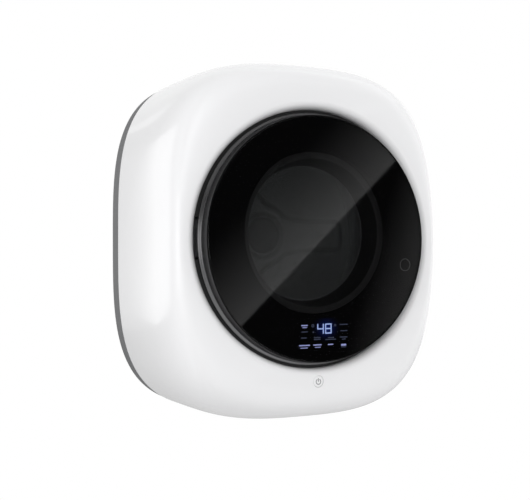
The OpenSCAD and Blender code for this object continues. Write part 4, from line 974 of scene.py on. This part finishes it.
# %% [markdown]
# ## The studio
# Light comes from four soft lamps and from the room itself. Shiny surfaces need something to
# mirror, so the world shows them softboxes drawn by direction: a tall one at the left and behind,
# which gives the flank its bright band, a low one at the front left, a small one high up behind and
# a wide one overhead. The door mirrors a dim panel with a slanting edge at the front right. The
# camera sees plain white behind the machine, and other light sees a soft, even room.

# %% World
NEARLY_LEVEL = 0.02
scene = bpy.context.scene
world = bpy.data.worlds.new("studio")
scene.world = world
world.use_nodes = True
sky = Network(world.node_tree)
aim = sky.node("ShaderNodeTexCoord", out="Generated")
to_right, to_wall, to_top = sky.parts(aim)


def inside(value, low, high, soft):
    """1 where a value lies between two limits, with soft edges."""
    return sky.step(value, low - soft, low + soft) * (1 - sky.step(value, high - soft, high + soft))


leftward, upward = sky.larger(0 - to_right, NEARLY_LEVEL), sky.larger(to_top, NEARLY_LEVEL)
side_depth, side_height = to_wall / leftward, to_top / leftward
tall_box = inside(side_depth, 0.78, 4.2, 0.05) * inside(side_height, -0.41, 0.75, 0.03)
front_box = inside(side_depth, -4.0, -0.08, 0.04) * inside(side_height, -0.24, 0.22, 0.03)
small_box = inside(side_depth, 3.9, 6.6, 0.25) * inside(side_height, 1.6, 2.6, 0.12)
top_across, top_depth = to_right / upward, to_wall / upward
slanting = top_depth - 0.248 * top_across
top_box = inside(slanting, -2.6, -0.06, 0.05) * inside(top_across, -1.5, 1.6, 0.1)
softboxes = (0.9 - 0.85 * sky.step(side_depth, 2.1, 3.0, "LINEAR")) * tall_box
softboxes = softboxes + 1.3 * front_box + 0.35 * small_box + 0.3 * top_box

# %% [markdown]
# The panel in front is seen by the door's glass alone. A direction that points to the right and
# towards the camera is measured on a plane one metre away, turned until the panel's edge is level.

# %% Front panel and world shader
frontward = sky.larger(0 - to_wall, NEARLY_LEVEL)
seen_right, seen_up = to_right / frontward, to_top / frontward
low_dark = sky.step(to_top, -0.55, -0.1)
back_side = sky.step(to_wall, -0.35, 0.25) * (0.35 + 0.65 * low_dark)
right_side = sky.step(to_right + 0.6 * to_wall, 0.12, 0.6)
room_glow = 0.03 + 0.62 * back_side * (1 - right_side) + 0.95 * right_side
across_edge = seen_up - 0.93 * seen_right
above = sky.step(across_edge, -0.523, -0.5195)
fading = sky.step(0 - across_edge, 0.38, 0.52, "LINEAR") ** 1.7
rising = 0.45 * sky.step(seen_right - 0.35 * seen_up, 0.655, 0.722, "LINEAR") ** 1.4
in_front = inside(seen_right, 0.3, 0.9, 0.06) * inside(seen_up, -0.35, 0.4, 0.06)
mirrored = softboxes + room_glow + (above * fading + (1 - above) * rising) * in_front
is_camera, is_glossy, is_through = sky.rays("Camera", "Glossy", "Transmission")
plain = sky.larger(is_camera, is_through)
room_light = 0.6 + 0.16 * to_top + 0.14 * to_right
level = plain + (1 - plain) * (is_glossy * mirrored + (1 - is_glossy) * room_light)
sky.end(sky.node("ShaderNodeBackground", {}, {"Color": grey(1.0), "Strength": level}),
        "ShaderNodeOutputWorld")


# %% [markdown]
# The lamps only light what isn't mirrored: a key from the upper left, a fill from the right, a weak
# one low on the right, and a narrow strip close to the flank, which lifts its lower half.

# %% Lamps
def lamp(name, place, target, size, power):
    """A soft lamp that shiny surfaces don't mirror, because the world draws its softboxes."""
    data = bpy.data.lights.new(name, "AREA")
    data.shape, data.size, data.size_y, data.energy = "RECTANGLE", *size, power
    made = bpy.data.objects.new(name, data)
    scene.collection.objects.link(made)
    made.location = place
    made.rotation_euler = (Vector(target) - Vector(place)).to_track_quat("-Z", "Y").to_euler()
    made.visible_glossy = False


lamp("key", (-1.6, -1.9, 1.5), (0, -0.15, 0), (1.6, 1.6), 22)
lamp("fill", (1.9, -2.0, 0.5), (0, -0.15, 0), (1.8, 1.8), 15)
lamp("low_right", (1.3, -0.7, -0.7), (0.15, -0.2, -0.2), (0.8, 0.8), 3)
lamp("strip", (-0.68, -0.5, -0.15), (-0.26, -0.22, -0.12), (0.2, 1.1), 1.25)

# %% [markdown]
# ## The floor
# A plain pale floor lies far below, since the machine hangs on a wall. The camera sees it white,
# and it sends a little light up to the underside.

# %% Floor
FLOOR_Z, FLOOR_R = -1.6, 8
rim = [(FLOOR_R * math.cos(t), FLOOR_R * math.sin(t), FLOOR_Z) for t in circle(96)]
floor_mesh = bpy.data.meshes.new("floor")
floor_mesh.from_pydata(rim, [], [tuple(range(96))])
floor = bpy.data.objects.new("floor", floor_mesh)
scene.collection.objects.link(floor)
floor_look = bpy.data.materials.new("floor")
floor_look.use_nodes = True
net = Network(floor_look.node_tree)
speckle = net.noise(3.0, 3)
matte = net.node("ShaderNodeBsdfDiffuse", {}, {"Color": net.mix(speckle, grey(0.78), grey(0.82))})
white = net.node("ShaderNodeEmission", {}, {"Color": grey(1.0), "Strength": 1.0})
seen, seen_through = net.rays("Camera", "Transmission")
net.end(net.node("ShaderNodeMixShader", {}, {0: seen + seen_through, 1: matte, 2: white}))
floor_mesh.materials.append(floor_look)

# %% [markdown]
# ## Settings
# Colours are shown as they are written.

# %% Finish
scene.view_settings.view_transform = "Standard"
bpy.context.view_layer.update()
